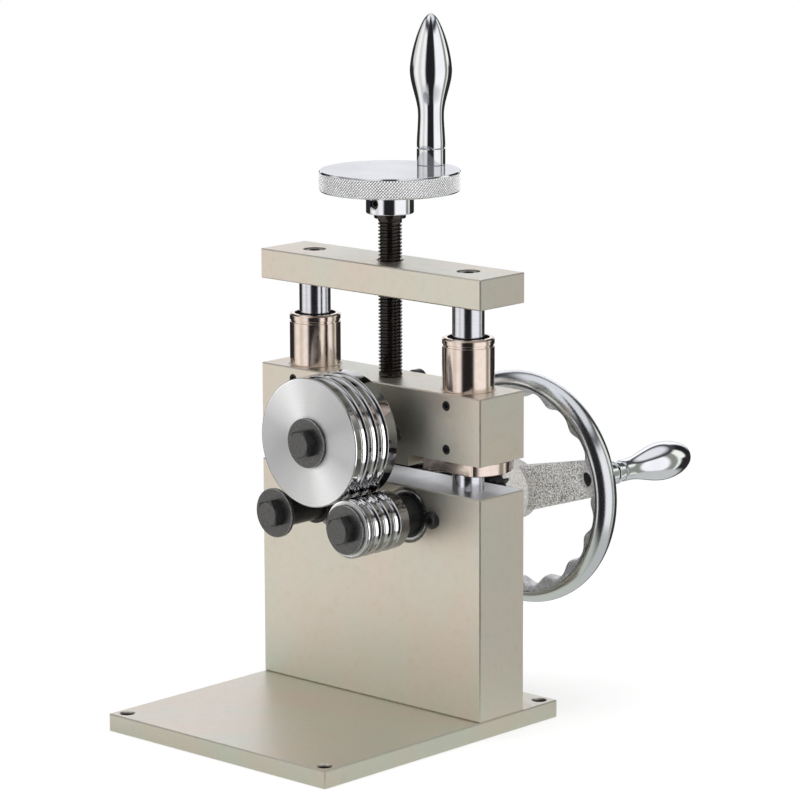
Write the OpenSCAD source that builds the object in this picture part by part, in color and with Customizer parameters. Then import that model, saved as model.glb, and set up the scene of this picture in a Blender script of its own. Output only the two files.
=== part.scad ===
// Bench machine that rolls flat and round wire into bangles: two geared lower
// shafts, a pressure roller on a sliding head, a lead screw with a crank above
// it and a handwheel behind. Origin at the middle of the base plate's
// underside, +Z up, the rollers towards -Y.

/* [Frame] */
// Width of the base plate, the blocks and the crossbar
body_w = 150; // [146:1:170]
// Depth of the base plate, front to back
base_d = 170; // [150:1:200]
// Thickness of the base plate
base_t = 9; // [8:0.5:14]
// Strip of base plate behind the blocks
back_apron = 26; // [15:1:40]
// Depth of the blocks and the crossbar, front to back
block_d = 33; // [32:0.5:40]
// Height of the lower block
lower_h = 113.4; // [100:0.2:130]
// Thickness of the crossbar
bar_t = 15.3; // [13:0.1:20]
// Width of the broken edges of the plates and blocks
edge_break = 0.6; // [0.3:0.1:1]
// Distance of the mounting holes from the edges of the base plate
base_hole_inset = 6.5; // [6:0.5:12]
// Diameter of the mounting holes
base_hole_d = 5.5; // [4:0.1:6.6]
// Diameter of the mounting holes at their countersunk mouth
base_hole_mouth_d = 8; // [7:0.1:10]

/* [Sliding head] */
// Gap between the lower block and the closed head
head_gap = 10.2; // [8:0.2:14]
// Height of the head
head_h = 39.9; // [38:0.1:48]
// Gap between the closed head and the crossbar
bar_gap = 43.8; // [42:0.2:60]
// Diameter of the guide pillars
pillar_d = 16; // [12:0.5:18]
// Distance of the pillar axes from the sides of the blocks
pillar_inset = 22.5; // [20:0.5:24]
// Depth of the pillars in the lower block
pillar_seat = 22; // [15:1:30]
// Outer diameter of the guide bushes
bush_od = 26; // [23:0.5:28]
// Length of the guide bushes, flange included
bush_l = 66.4; // [50:0.2:70]
// Length of the bush flange between its round ends
flange_l = 45; // [40:0.5:46]
// Width of the bush flange across its flats
flange_w = 31; // [28:0.5:32]
// Thickness of the bush flange
flange_t = 6; // [4:0.5:8]
// Free length of the notch beside the flange
flange_gap = 3; // [1:0.5:4]

/* [Shafts and bearings] */
// Half the distance between the two lower shafts
roller_axis_x = 26; // [24:0.5:27]
// Diameter of the shafts in their bearings
shaft_d = 10; // [9:0.5:11]
// Outer diameter of the ball bearings
bearing_od = 26; // [24:0.5:27]
// Width of the ball bearings
bearing_w = 8; // [6:0.5:10]
// Outer diameter of the inner rings
inner_ring_d = 14; // [13:0.5:16]
// Metal left between a bearing pocket and the edge of its block
bearing_wall = 1.8; // [1.4:0.1:4]
// Chamfer at the mouth of a bearing pocket
pocket_mouth = 1.2; // [0.3:0.1:1.3]
// Diameter of the hole between the two bearings of a shaft
tunnel_d = 20; // [18:0.5:22]
// Diameter of the shaft collars behind the rollers
collar_d = 20; // [18:0.5:24]
// Length of the shaft collars
collar_l = 13.3; // [8:0.1:20]

/* [Rollers] */
// Width of the rollers
roller_w = 30; // [28:0.5:40]
// Diameter of the lower roller
lower_roller_d = 29.4; // [26:0.2:34]
// Gap between the closed rollers
roller_nip = 0.35; // [0.3:0.05:2]
// Diameter of the roller seats
seat_d = 16; // [14:0.5:18]
// Length of the roller seats
seat_l = 26.2; // [20:0.2:27]
// Number of wire grooves in a roller
groove_count = 3; // [1:1:3]
// Distance between the wire grooves
groove_pitch = 7.1; // [6:0.1:8]
// Distance of the first groove from the front face
groove_first = 6.6; // [5:0.1:8]
// Radius of the wire grooves
groove_r = 2.7; // [1.5:0.1:2.9]
// Depth of the wire grooves
groove_depth = 1.8; // [0.8:0.1:2.4]
// Diameter of the roller washers
washer_d = 25; // [20:0.5:26]
// Thickness of the roller washers
washer_t = 2; // [1:0.1:3]
// Thread diameter of the roller bolts
bolt_d = 8; // [6:0.5:9]
// Width of the roller bolt heads across the flats
bolt_af = 13; // [12:0.5:15]
// Height of the roller bolt heads
bolt_head_h = 5.3; // [4:0.1:7]
// Length of the roller bolts under the head
bolt_l = 24; // [16:1:26]

/* [Gear train] */
// Module of the gears
gear_module = 1.5; // [1.25:0.05:1.75]
// Gap between the tips of the two shaft gears
gear_air = 4; // [3:0.5:8]
// Teeth of the idler gear
idler_teeth = 18; // [17:1:24]
// Width of the gears
gear_w = 10; // [8:0.5:14]
// Play between meshing teeth
gear_backlash = 0.3; // [0.2:0.05:0.5]
// Length of the spacers between the rear bearings and the gears
spacer_l = 11; // [8:0.5:14]
// Diameter of the gear hubs
gear_hub_d = 20; // [18:0.5:22]
// Length of the gear hubs
gear_hub_l = 10; // [8:0.5:14]
// Diameter of the idler stud
stud_d = 10; // [8:0.5:11]
// Outer diameter of the idler bush
idler_bush_d = 14; // [13:0.5:16]

/* [Handwheel] */
// Diameter of the handwheel
wheel_d = 121; // [110:1:140]
// Thickness of the rim, measured towards the hub
rim_t = 7.4; // [6:0.2:10]
// Width of the rim along the shaft
rim_w = 14; // [12:0.5:18]
// Distance of the rim's front from the front of the hub
rim_set = 17.5; // [16:0.5:24]
// Diameter of the hub at its front end
wheel_nose_d = 23; // [20:0.5:26]
// Diameter of the hub
wheel_hub_d = 31; // [28:0.5:36]
// Length of the hub
wheel_hub_l = 20; // [19.5:0.5:30]
// Length of the flare from the nose to the full hub
wheel_flare_l = 11; // [6:0.5:12]
// Width of the spokes at the hub
spoke_root_w = 25; // [20:0.5:28]
// Width of the spokes at the rim
spoke_tip_w = 18; // [14:0.5:22]
// Thickness of the spokes
spoke_t = 8; // [6:0.5:10]
// Angle of the spokes above level
spoke_angle = 13.4; // [0:0.1:45]
// Finger bumps round the rim
bump_count = 16; // [12:1:20]
// Turn of the finger bumps against the spokes
bump_turn = 2.9; // [-11:0.1:11]
// Height of the finger bumps
bump_h = 3.4; // [2:0.2:5]
// Depth of the plain web between the rim and the finger bumps
web_h = 2.4; // [1:0.2:5]
// Thickness of the finger web along the shaft
web_t = 8; // [5:0.5:10]
// Distance of the wheel handle's axis from the outside of the rim
wheel_handle_inset = 13; // [12.5:0.5:18]

/* [Crank] */
// Thread diameter of the lead screw
screw_d = 12; // [10:0.5:14]
// Diameter of the plain ends of the lead screw
journal_d = 10; // [8:0.5:11]
// Depth of the lead screw in the head
journal_l = 12; // [10:0.5:13]
// Free length of lead screw above the crossbar
crank_rise = 21.4; // [18:0.2:40]
// Diameter of the shoulder under the crank hub
shoulder_d = 16; // [14:0.5:20]
// Thickness of that shoulder
shoulder_t = 2.5; // [1.5:0.1:4]
// Diameter of the crank hub
crank_hub_d = 24; // [20:0.5:30]
// Height of the crank hub
crank_hub_h = 11.3; // [9:0.1:16]
// Diameter of the crank disc
disc_d = 71.2; // [70:0.2:90]
// Thickness of the crank disc
disc_t = 10.4; // [9:0.1:14]
// Distance of the crank handle from the screw's axis
crank_handle_r = 27.5; // [22:0.5:28]
// Turn of the crank handle from straight back
crank_turn = 6; // [-45:1:45]

/* [Handles] */
// Length of the crank handle
crank_handle_l = 68.4; // [55:0.2:80]
// Largest diameter of the crank handle
crank_handle_d = 21.2; // [18:0.2:24]
// Diameter of the crank handle at its foot
crank_handle_foot_d = 14.4; // [13:0.2:16]
// Diameter of the crank handle at its waist
crank_handle_waist_d = 13; // [11.6:0.2:14]
// Length of the wheel handle
wheel_handle_l = 54.5; // [45:0.5:65]
// Largest diameter of the wheel handle
wheel_handle_d = 19.6; // [17:0.2:23]
// Diameter of the wheel handle at its foot
wheel_handle_foot_d = 11; // [10:0.2:13]
// Diameter of the handle spindles
spindle_d = 7; // [5:0.5:7.5]
// Diameter of the ferrule under the crank handle
ferrule_d = 14.4; // [13:0.2:17]
// Height of the ferrule under the crank handle
ferrule_h = 8.4; // [6:0.2:12]
// Diameter of the neck under the wheel handle
neck_d = 10.4; // [9:0.1:11]
// Length of the neck under the wheel handle
neck_l = 17; // [12:0.5:20]
// Thread diameter of the handle spindles
spindle_thread_d = 8; // [6:0.5:8.5]

/* [Small fasteners] */
// Thread diameter of the screws through the base plate
base_screw_d = 6; // [5:0.5:7]
// Length of the screws through the base plate
base_screw_l = 26; // [20:1:34]
// Distance between the screws through the base plate
base_screw_pitch = 48; // [35:1:55]
// Thread diameter of the crossbar screws
bar_screw_d = 6; // [5:0.5:6.5]
// Length of the crossbar screws under the head
bar_screw_l = 24; // [18:1:34]
// Thread diameter of the screws beside the bearings
clamp_screw_d = 5; // [4:0.5:5.5]
// Length of the screws beside the bearings
clamp_screw_l = 7; // [5:0.5:8]
// Head diameter of the screws beside the bearings
clamp_head_d = 9; // [8:0.2:10]
// Head height of the screws beside the bearings
clamp_head_h = 2.4; // [1.8:0.1:3]
// Thread diameter of the grub screws
grub_d = 5; // [4:0.5:5.5]
// Thread diameter of the keeper screw
keeper_d = 6; // [5:0.5:6.5]
// Depth of the keeper screw's axis under the top of the head
keeper_drop = 4.4; // [4.2:0.1:6]
// Thread diameter of the handwheel's bolt
wheel_bolt_d = 6; // [5:0.5:6.5]
// Width of the shaft key
key_w = 3; // [2:0.5:4]
// Length of the shaft key
key_l = 14; // [10:1:18]

/* [Clearances] */
// Radial gap of a piece that turns or slides on another
run_gap = 0.06; // [0.03:0.01:0.1]
// Radial gap of a piece that is pressed or screwed into another
fit_gap = 0.03; // [0.01:0.01:0.05]
// End play between turning faces
end_play = 0.3; // [0.2:0.05:0.5]
// Radial gap round a screw that passes freely
pass_gap = 0.3; // [0.2:0.05:0.6]

/* [Hidden] */
$fn = 96;

nickel = "#c6c2b2";
black_oxide = "#3a3a3c";
chrome = "#d9dbde";
bronze = "#a88f80";
bearing_steel = "#b9bcc0";
seal_black = "#1d1d1f";
cast_metal = "#9a958f";

block_front = base_d / 2 - back_apron - block_d;
block_back = block_front + block_d;
block_mid = block_front + block_d / 2;
lower_top = base_t + lower_h;
head_bottom = lower_top + head_gap;
head_top = head_bottom + head_h;
bar_bottom = head_top + bar_gap;
bar_top = bar_bottom + bar_t;
pillar_x = body_w / 2 - pillar_inset;

lower_axis_z = lower_top - bearing_wall - bearing_od / 2;
upper_axis_z = head_bottom + bearing_wall + bearing_od / 2;
axis_span = norm([roller_axis_x, upper_axis_z - lower_axis_z]);
upper_roller_d = 2 * (axis_span - lower_roller_d / 2 - roller_nip);
roller_back = block_front - collar_l;
roller_front = roller_back - roller_w;
seat_front = roller_back - seat_l;

gear_front = block_back + spacer_l;
gear_back = gear_front + gear_w;
gear_teeth = floor((2 * roller_axis_x - gear_air) / gear_module) - 2;
idler_reach = gear_module * (gear_teeth + idler_teeth) / 2;
idler_drop = sqrt(pow(idler_reach, 2) - pow(roller_axis_x, 2));
idler_z = lower_axis_z - idler_drop;
wheel_front = gear_back + gear_hub_l;
wheel_back = wheel_front + wheel_hub_l;
wheel_handle_r = wheel_d / 2 - wheel_handle_inset;

shoulder_bottom = bar_top + crank_rise;
hub_bottom = shoulder_bottom + shoulder_t;
disc_bottom = hub_bottom + crank_hub_h;
disc_top = disc_bottom + disc_t;

// Cap heads are one thread diameter high, a little over one and a half wide
cap_head_ratio = 1.67;
// Hexagon sockets of cap screws, across the flats, as a share of the thread diameter
cap_socket_ratio = 0.83;
// Hexagon sockets of the other screws, across the flats, as a share of the thread diameter
socket_ratio = 0.55;
// Flat circle on a hexagon head, as a share of its width across the flats
head_flat_ratio = 0.94;
// Angle of the chamfer on a hexagon head
head_chamfer_angle = 30;
// Length of thread in a tapped hole, as a share of the thread diameter
tap_ratio = 2.5;
// Overlap of a cutting shape past the face that it cuts
cut = 1;

// Turns a shape that is built along +Z so that it lies along +Y, from y on
module along_y(x, y, z) {
    translate([x, y, z])
        rotate([-90, 0, 0])
            children();
}

// Solid of revolution from a list of [radius, height] points
module turned(points) {
    rotate_extrude()
        polygon(points);
}

// Round bar or hole with a chamfer on both end edges
module chamfered_rod(d, l, c) {
    turned([[0, 0], [d / 2 - c, 0], [d / 2, c], [d / 2, l - c], [d / 2 - c, l], [0, l]]);
}

// Plain ring with a chamfer on its outer edges
module chamfered_ring(d, bore, l, c) {
    turned([
        [bore / 2, 0], [d / 2 - c, 0], [d / 2, c],
        [d / 2, l - c], [d / 2 - c, l], [bore / 2, l]
    ]);
}

// Rectangle with its four corners cut by c, centred in x, from 0 up in y
module cut_rectangle(w, h, c) {
    polygon([
        [c - w / 2, 0], [w / 2 - c, 0], [w / 2, c], [w / 2, h - c],
        [w / 2 - c, h], [c - w / 2, h], [-w / 2, h - c], [-w / 2, c]
    ]);
}

// Machined block between two heights, with all its edges broken
module broken_block(w, y0, d, z0, h) {
    translate([0, y0 + d / 2, z0])
        intersection() {
            translate([0, d / 2, 0])
                rotate([90, 0, 0])
                    linear_extrude(d)
                        cut_rectangle(w, h, edge_break);
            translate([-w / 2, 0, 0])
                rotate([90, 0, 90])
                    linear_extrude(w)
                        cut_rectangle(d, h, edge_break);
            translate([0, -d / 2, 0])
                linear_extrude(h)
                    cut_rectangle(w, d, edge_break);
        }
}

// Hexagon prism along +Z, measured across its flats
module hexagon(af, h) {
    cylinder(d = af / cos(30), h = h, $fn = 6);
}

// Pocket for two bearings and the tunnel between them, through a block along Y
module bearing_seats(x, z) {
    pocket_d = bearing_od + 2 * fit_gap;
    along_y(x, block_front - cut, z)
        cylinder(d = tunnel_d, h = block_d + 2 * cut);
    along_y(x, block_front, z)
        bearing_pocket(pocket_d);
    translate([x, block_back, z])
        rotate([90, 0, 0])
            bearing_pocket(pocket_d);
}

// One bearing pocket with its chamfered mouth at height 0
module bearing_pocket(d) {
    turned([
        [0, -cut], [d / 2 + pocket_mouth + cut, -cut], [d / 2, pocket_mouth],
        [d / 2, bearing_w], [0, bearing_w]
    ]);
}

// Outer ring and seals of a ball bearing, with its faces set back round the inner ring
module bearing(x, y, z) {
    seal_set = 0.5;
    ring_t = 2.2;
    ring_c = 0.4;
    lip_r = inner_ring_d / 2 + run_gap;
    land_r = bearing_od / 2 - ring_t;
    along_y(x, y, z)
        turned([
            [lip_r, seal_set], [land_r, seal_set], [land_r, 0],
            [bearing_od / 2 - ring_c, 0], [bearing_od / 2, ring_c],
            [bearing_od / 2, bearing_w - ring_c], [bearing_od / 2 - ring_c, bearing_w],
            [land_r, bearing_w], [land_r, bearing_w - seal_set], [lip_r, bearing_w - seal_set]
        ]);
}

// The two inner rings that are pressed on one shaft
module inner_rings(x, z) {
    for (y = [block_front, block_back - bearing_w])
        along_y(x, y, z)
            chamfered_ring(inner_ring_d, shaft_d + 2 * fit_gap, bearing_w, edge_break / 2);
}

// Places a screw beside a bearing on the front or back face, on the side dir
module beside_bearings(x, z, dir) {
    reach = bearing_od / 2 + clamp_screw_d / 2 + pocket_mouth + edge_break;
    translate([x + dir * reach, block_front, z])
        rotate([90, 0, 0])
            children();
    along_y(x + dir * reach, block_back, z)
        children();
}

// Button-head screw, its head from height 0 up and its shank below
module clamp_screw() {
    crown_r = clamp_head_d / 4;
    crown_edge_r = crown_r + clamp_head_d / 8;
    crown_edge_h = clamp_head_h * 4 / 5;
    difference() {
        union() {
            turned([
                [0, 0], [clamp_head_d / 2, 0], [clamp_head_d / 2, clamp_head_h / 3],
                [crown_edge_r, crown_edge_h], [crown_r, clamp_head_h], [0, clamp_head_h]
            ]);
            translate([0, 0, -clamp_screw_l])
                cylinder(d = clamp_screw_d, h = clamp_screw_l);
        }
        translate([0, 0, clamp_head_h / 3])
            hexagon(clamp_screw_d * socket_ratio, clamp_head_h);
    }
}

// Hole of a screw beside a bearing
module clamp_hole() {
    translate([0, 0, -clamp_screw_l - cut])
        cylinder(d = clamp_screw_d + 2 * fit_gap, h = clamp_screw_l + 2 * cut);
}

// Socket-head screw, its head from height 0 up and its shank below
module cap_screw(d, l) {
    head_c = d / 10;
    socket_af = d * cap_socket_ratio;
    difference() {
        union() {
            chamfered_rod(d * cap_head_ratio, d, head_c);
            translate([0, 0, -l])
                cylinder(d = d, h = l + head_c);
        }
        translate([0, 0, d / 2])
            hexagon(socket_af, d);
    }
}

// Hexagon-head bolt, its chamfered head from height 0 up and its shank below
module hex_bolt(d, af, head_h, l) {
    corner_r = af / sqrt(3);
    flat_r = af * head_flat_ratio / 2;
    slope = tan(head_chamfer_angle);
    drop = (corner_r + cut - flat_r) * slope;
    intersection() {
        hexagon(af, head_h);
        turned([
            [0, 0], [corner_r + cut, 0], [corner_r + cut, head_h - drop],
            [flat_r, head_h], [0, head_h]
        ]);
    }
    translate([0, 0, -l])
        cylinder(d = d, h = l + head_h / 2);
}

// Flat washer along +Z with broken edges
module flat_washer(d, bore, t) {
    chamfered_ring(d, bore, t, t / 6);
}

// Headless screw with a hexagon socket in its upper end, from height 0 up
module grub_screw(l) {
    socket_depth = min(l / 2, grub_d / 2);
    difference() {
        chamfered_rod(grub_d, l, grub_d / 12);
        translate([0, 0, l - socket_depth])
            hexagon(grub_d * socket_ratio, l);
    }
}

// Open ring clip that sits in a groove, along +Z
module ring_clip(d, bore, t) {
    mouth = bore * clip_mouth_ratio;
    difference() {
        cylinder(d = d, h = t);
        translate([0, 0, -cut])
            cylinder(d = bore, h = t + 2 * cut);
        translate([-mouth / 2, 0, -cut])
            cube([mouth, d, t + 2 * cut]);
    }
}

// Base plate with four countersunk mounting holes
module base_plate() {
    mouth_depth = (base_hole_mouth_d - base_hole_d) / 2;
    color(nickel)
        difference() {
            broken_block(body_w, -base_d / 2, base_d, 0, base_t);
            for (sx = [-1, 1], sy = [-1, 1])
                translate([sx * (body_w / 2 - base_hole_inset), sy * (base_d / 2 - base_hole_inset), 0]) {
                    translate([0, 0, -cut])
                        cylinder(d = base_hole_d, h = base_t + 2 * cut);
                    translate([0, 0, base_t - mouth_depth])
                        cylinder(
                            d1 = base_hole_d, d2 = base_hole_mouth_d + 2 * cut, h = mouth_depth + cut
                        );
                }
            base_screw_places()
                base_screw_form(pass_gap, base_screw_l, cut);
        }
}

// Row of screw places under the lower block
module base_screw_places() {
    for (i = [-1:1])
        translate([i * base_screw_pitch, block_mid, 0])
            children();
}

// Countersunk screw from the underside up, grown by gap, its mouth drawn down by deep
module base_screw_form(gap, l, deep) {
    head_set = 0.3;
    shank_r = base_screw_d / 2 + gap;
    head_r = base_screw_d + gap;
    foot = deep > 0 ? -deep : head_set;
    neck = head_set + base_screw_d / 2;
    turned([
        [0, foot], [head_r, foot], [head_r, head_set], [shank_r, neck], [shank_r, l], [0, l]
    ]);
}

// Countersunk screws that hold the lower block on the base plate
module base_screws() {
    socket_depth = base_screw_d / 2;
    color(black_oxide)
        base_screw_places()
            difference() {
                base_screw_form(0, base_screw_l, 0);
                translate([0, 0, -cut])
                    hexagon(base_screw_d * socket_ratio, socket_depth + cut);
            }
}

// Lower block with the seats of both lower shafts, the pillars and their screws
module lower_block() {
    color(nickel)
        difference() {
            broken_block(body_w, block_front, block_d, base_t, lower_h);
            for (sx = [-1, 1]) {
                bearing_seats(sx * roller_axis_x, lower_axis_z);
                beside_bearings(sx * roller_axis_x, lower_axis_z, sx)
                    clamp_hole();
                translate([sx * pillar_x, block_mid, lower_top - pillar_seat])
                    cylinder(d = pillar_d + 2 * fit_gap, h = pillar_seat + cut);
            }
            base_screw_places()
                cylinder(d = base_screw_d + 2 * fit_gap, h = base_screw_l + cut);
            along_y(0, block_back - stud_seat(), idler_z)
                cylinder(d = stud_thread_d() + 2 * fit_gap, h = stud_seat() + cut);
        }
}

// Depth and thread of the idler stud in the block, as shares of its diameter
stud_seat_ratio = 1.4;
stud_thread_ratio = 0.8;
function stud_seat() = stud_seat_ratio * stud_d;
function stud_thread_d() = stud_thread_ratio * stud_d;

// Ground guide pillar with a tapped hole in its top end
module guide_pillar(x) {
    pillar_l = bar_bottom - lower_top + pillar_seat;
    pillar_c = 0.8;
    tap_depth = bar_screw_l - (bar_t - bar_head_depth()) + cut;
    color(chrome)
        translate([x, block_mid, lower_top - pillar_seat])
            difference() {
                chamfered_rod(pillar_d, pillar_l, pillar_c);
                translate([0, 0, pillar_l - tap_depth])
                    cylinder(d = bar_screw_d + 2 * fit_gap, h = tap_depth + cut);
            }
}

// Room round the screw heads in the crossbar
head_room = 0.9;

// Depth of the counterbores in the crossbar: the heads sit a little below its top
bar_head_sink = 0.5;
function bar_head_depth() = bar_screw_d + bar_head_sink;

module guide_pillar_left() {
    guide_pillar(-pillar_x);
}

module guide_pillar_right() {
    guide_pillar(pillar_x);
}

// Crossbar with the lead screw's thread and two counterbored holes
module crossbar() {
    sink_d = bar_screw_d * cap_head_ratio + 2 * head_room;
    thread_c = 1;
    thread_r = screw_d / 2 + run_gap;
    color(nickel)
        difference() {
            broken_block(body_w, block_front, block_d, bar_bottom, bar_t);
            translate([0, block_mid, bar_bottom])
                turned([
                    [0, -cut], [thread_r + thread_c + cut, -cut], [thread_r, thread_c],
                    [thread_r, bar_t - thread_c], [thread_r + thread_c + cut, bar_t + cut], [0, bar_t + cut]
                ]);
            for (sx = [-1, 1])
                translate([sx * pillar_x, block_mid, bar_bottom - cut]) {
                    cylinder(d = bar_screw_d + 2 * pass_gap, h = bar_t + 2 * cut);
                    translate([0, 0, cut + bar_t - bar_head_depth()])
                        cylinder(d = sink_d, h = bar_head_depth() + cut);
                }
        }
}

// Socket screws that hold the crossbar on the pillars
module crossbar_screws() {
    color(black_oxide)
        for (sx = [-1, 1])
            translate([sx * pillar_x, block_mid, bar_top - bar_head_depth()])
                cap_screw(bar_screw_d, bar_screw_l);
}

module drive_bearing_front() {
    color(seal_black)
        bearing(roller_axis_x, block_front, lower_axis_z);
}

module drive_bearing_rear() {
    color(seal_black)
        bearing(roller_axis_x, block_back - bearing_w, lower_axis_z);
}

module driven_bearing_front() {
    color(seal_black)
        bearing(-roller_axis_x, block_front, lower_axis_z);
}

module driven_bearing_rear() {
    color(seal_black)
        bearing(-roller_axis_x, block_back - bearing_w, lower_axis_z);
}

// Button-head screws that keep the four lower bearings in
module lower_bearing_screws() {
    color(black_oxide)
        for (sx = [-1, 1])
            beside_bearings(sx * roller_axis_x, lower_axis_z, sx)
                clamp_screw();
}

// Shouldered stud of the idler gear, screwed into the back of the lower block
module idler_stud() {
    collar_step = 1;
    collar_r = idler_bush_d / 2 + collar_step;
    collar_end = spacer_l - end_play;
    groove_y = spacer_l + gear_w + end_play;
    groove_end = groove_y + clip_t(stud_d);
    stud_end = groove_end + 2 * clip_t(stud_d);
    color(black_oxide)
        along_y(0, block_back, idler_z)
            difference() {
                turned([
                    [0, -stud_seat()], [stud_thread_d() / 2, -stud_seat()], [stud_thread_d() / 2, 0],
                    [collar_r, 0], [collar_r, collar_end], [stud_d / 2, collar_end],
                    [stud_d / 2, groove_y], [clip_bore(stud_d) / 2, groove_y],
                    [clip_bore(stud_d) / 2, groove_end], [stud_d / 2, groove_end],
                    [stud_d / 2, stud_end], [0, stud_end]
                ]);
                translate([0, 0, groove_y])
                    hexagon(stud_d * socket_ratio, stud_d);
            }
}

// Sizes of a clip and its groove, as shares of the shaft's diameter d
clip_bore_ratio = 0.9;
clip_d_ratio = 1.6;
clip_t_ratio = 0.12;
clip_mouth_ratio = 0.7;
function clip_bore(d) = clip_bore_ratio * d;
function clip_d(d) = clip_d_ratio * d;
function clip_t(d) = clip_t_ratio * d;

module idler_clip() {
    color(bearing_steel)
        along_y(0, block_back + spacer_l + gear_w + end_play, idler_z)
            ring_clip(clip_d(stud_d), clip_bore(stud_d) + 2 * fit_gap, clip_t(stud_d));
}

// Sliding head with the seats of the upper shaft, the bushes and the lead screw
module upper_block() {
    notch_x = pillar_x - flange_l / 2 - flange_gap;
    bush_r = bush_od / 2 + fit_gap;
    bush_mouth = 0.8;
    journal_r = journal_d / 2 + run_gap;
    journal_depth = journal_l + end_play;
    color(nickel)
        difference() {
            broken_block(body_w, block_front, block_d, head_bottom, head_h);
            bearing_seats(0, upper_axis_z);
            beside_bearings(0, upper_axis_z, 1)
                clamp_hole();
            translate([0, block_mid, head_top - journal_depth])
                cylinder(r = journal_r, h = journal_depth + cut);
            along_y(0, block_mid, head_top - keeper_drop)
                cylinder(d = keeper_d + 2 * fit_gap, h = block_d);
            for (sx = [-1, 1]) {
                translate([sx * (notch_x + body_w / 2) - body_w / 2, block_front - cut, head_bottom - cut])
                    cube([body_w, block_d + 2 * cut, flange_t + cut]);
                translate([sx * pillar_x, block_mid, head_bottom])
                    turned([
                        [0, 0], [bush_r, 0], [bush_r, head_h - bush_mouth],
                        [bush_r + bush_mouth + cut, head_h + cut], [0, head_h + cut]
                    ]);
                for (z = grub_heights())
                    along_y(sx * pillar_x, block_front - cut, z)
                        cylinder(d = grub_d + 2 * fit_gap, h = block_d / 2);
            }
        }
}

// Heights of the grub screws that hold the guide bushes, set in from the edges of the head
grub_inset_ratio = 1.2;
function grub_heights() = [
    head_bottom + flange_t + grub_d * grub_inset_ratio,
    head_top - grub_d * grub_inset_ratio
];

// Flanged guide bush with a seal recess and a turned ring at its top
module guide_bush(x) {
    bore_r = pillar_d / 2 + run_gap;
    wall_r = bush_od / 2;
    rim_c = 1;
    ring_drop = 3.2;
    ring_h = 1.2;
    ring_depth = 0.5;
    seal_r = (bore_r + wall_r) / 2;
    seal_depth = 1.6;
    color(bronze)
        translate([x, block_mid, head_bottom]) {
            turned([
                [bore_r, 0], [wall_r, 0],
                [wall_r, bush_l - ring_drop - ring_h], [wall_r - ring_depth, bush_l - ring_drop - ring_h],
                [wall_r - ring_depth, bush_l - ring_drop], [wall_r, bush_l - ring_drop],
                [wall_r, bush_l - rim_c], [wall_r - rim_c, bush_l], [seal_r, bush_l],
                [seal_r, bush_l - seal_depth], [bore_r, bush_l - seal_depth]
            ]);
            intersection() {
                chamfered_ring(flange_l, bore_r + wall_r, flange_t, edge_break / 2);
                translate([-flange_l / 2, -flange_w / 2, 0])
                    cube([flange_l, flange_w, flange_t]);
            }
        }
}

module guide_bush_left() {
    guide_bush(-pillar_x);
}

module guide_bush_right() {
    guide_bush(pillar_x);
}

// Grub screws in the front of the head that hold the guide bushes
module bush_grub_screws() {
    grub_l = (block_d - bush_od) / 2 - end_play;
    color(black_oxide)
        for (sx = [-1, 1], z = grub_heights())
            translate([sx * pillar_x, block_front + grub_l, z])
                rotate([90, 0, 0])
                    grub_screw(grub_l);
}

module upper_bearing_front() {
    color(seal_black)
        bearing(0, block_front, upper_axis_z);
}

module upper_bearing_rear() {
    color(seal_black)
        bearing(0, block_back - bearing_w, upper_axis_z);
}

// Button-head screws that keep the upper bearings in
module upper_bearing_screws() {
    color(black_oxide)
        beside_bearings(0, upper_axis_z, 1)
            clamp_screw();
}

// Screw in the back of the head whose tip holds the lead screw's groove
module screw_keeper() {
    tip_y = block_mid + keeper_groove_r() + end_play;
    color(black_oxide)
        along_y(0, block_back, head_top - keeper_drop)
            cap_screw(keeper_d, block_back - tip_y);
}

// Radius of the groove in the lead screw's lower end, as a share of its diameter, and its width
keeper_groove_ratio = 0.32;
function keeper_groove_r() = keeper_groove_ratio * journal_d;
function keeper_groove_w() = keeper_d + 2 * end_play;

// Lead screw with plain ends: its foot in the head, its top in the crank hub
module lead_screw() {
    foot = head_top - journal_l;
    groove_low = head_top - keeper_drop - keeper_groove_w() / 2;
    groove_high = groove_low + keeper_groove_w();
    screw_c = 1;
    journal_r = journal_d / 2;
    thread_r = screw_d / 2;
    thread_low = head_top + end_play / 3;
    color(black_oxide)
        translate([0, block_mid, 0])
            turned([
                [0, foot], [journal_r, foot], [journal_r, groove_low], [keeper_groove_r(), groove_low],
                [keeper_groove_r(), groove_high], [journal_r, groove_high], [journal_r, thread_low],
                [thread_r - screw_c, thread_low], [thread_r, thread_low + screw_c],
                [thread_r, shoulder_bottom], [shoulder_d / 2, shoulder_bottom],
                [shoulder_d / 2, hub_bottom], [journal_r, hub_bottom],
                [journal_r, crank_bore_top()], [0, crank_bore_top()]
            ]);
}

// Height where the lead screw ends in the crank disc
function crank_bore_top() = disc_top - disc_t / 2;

// Crank disc with its hub in one piece
module crank_disc() {
    disc_c = 0.8;
    hub_c = 0.6;
    bore_r = journal_d / 2 + fit_gap;
    disc_r = disc_d / 2;
    color(chrome)
        translate([0, block_mid, 0])
            difference() {
                turned([
                    [bore_r, hub_bottom], [crank_hub_d / 2 - hub_c, hub_bottom],
                    [crank_hub_d / 2, hub_bottom + hub_c], [crank_hub_d / 2, disc_bottom],
                    [disc_r - disc_c, disc_bottom], [disc_r, disc_bottom + disc_c],
                    [disc_r, disc_top - disc_c], [disc_r - disc_c, disc_top], [0, disc_top],
                    [0, crank_bore_top() + fit_gap], [bore_r, crank_bore_top() + fit_gap]
                ]);
                translate([0, 0, hub_bottom + crank_hub_h / 2])
                    rotate([90, 0, 0])
                        cylinder(d = grub_d + 2 * fit_gap, h = crank_hub_d);
                rotate([0, 0, -crank_turn])
                    translate([0, crank_handle_r, disc_top - crank_thread_l()])
                        cylinder(d = spindle_thread_d + 2 * fit_gap, h = disc_t);
            }
}

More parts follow.
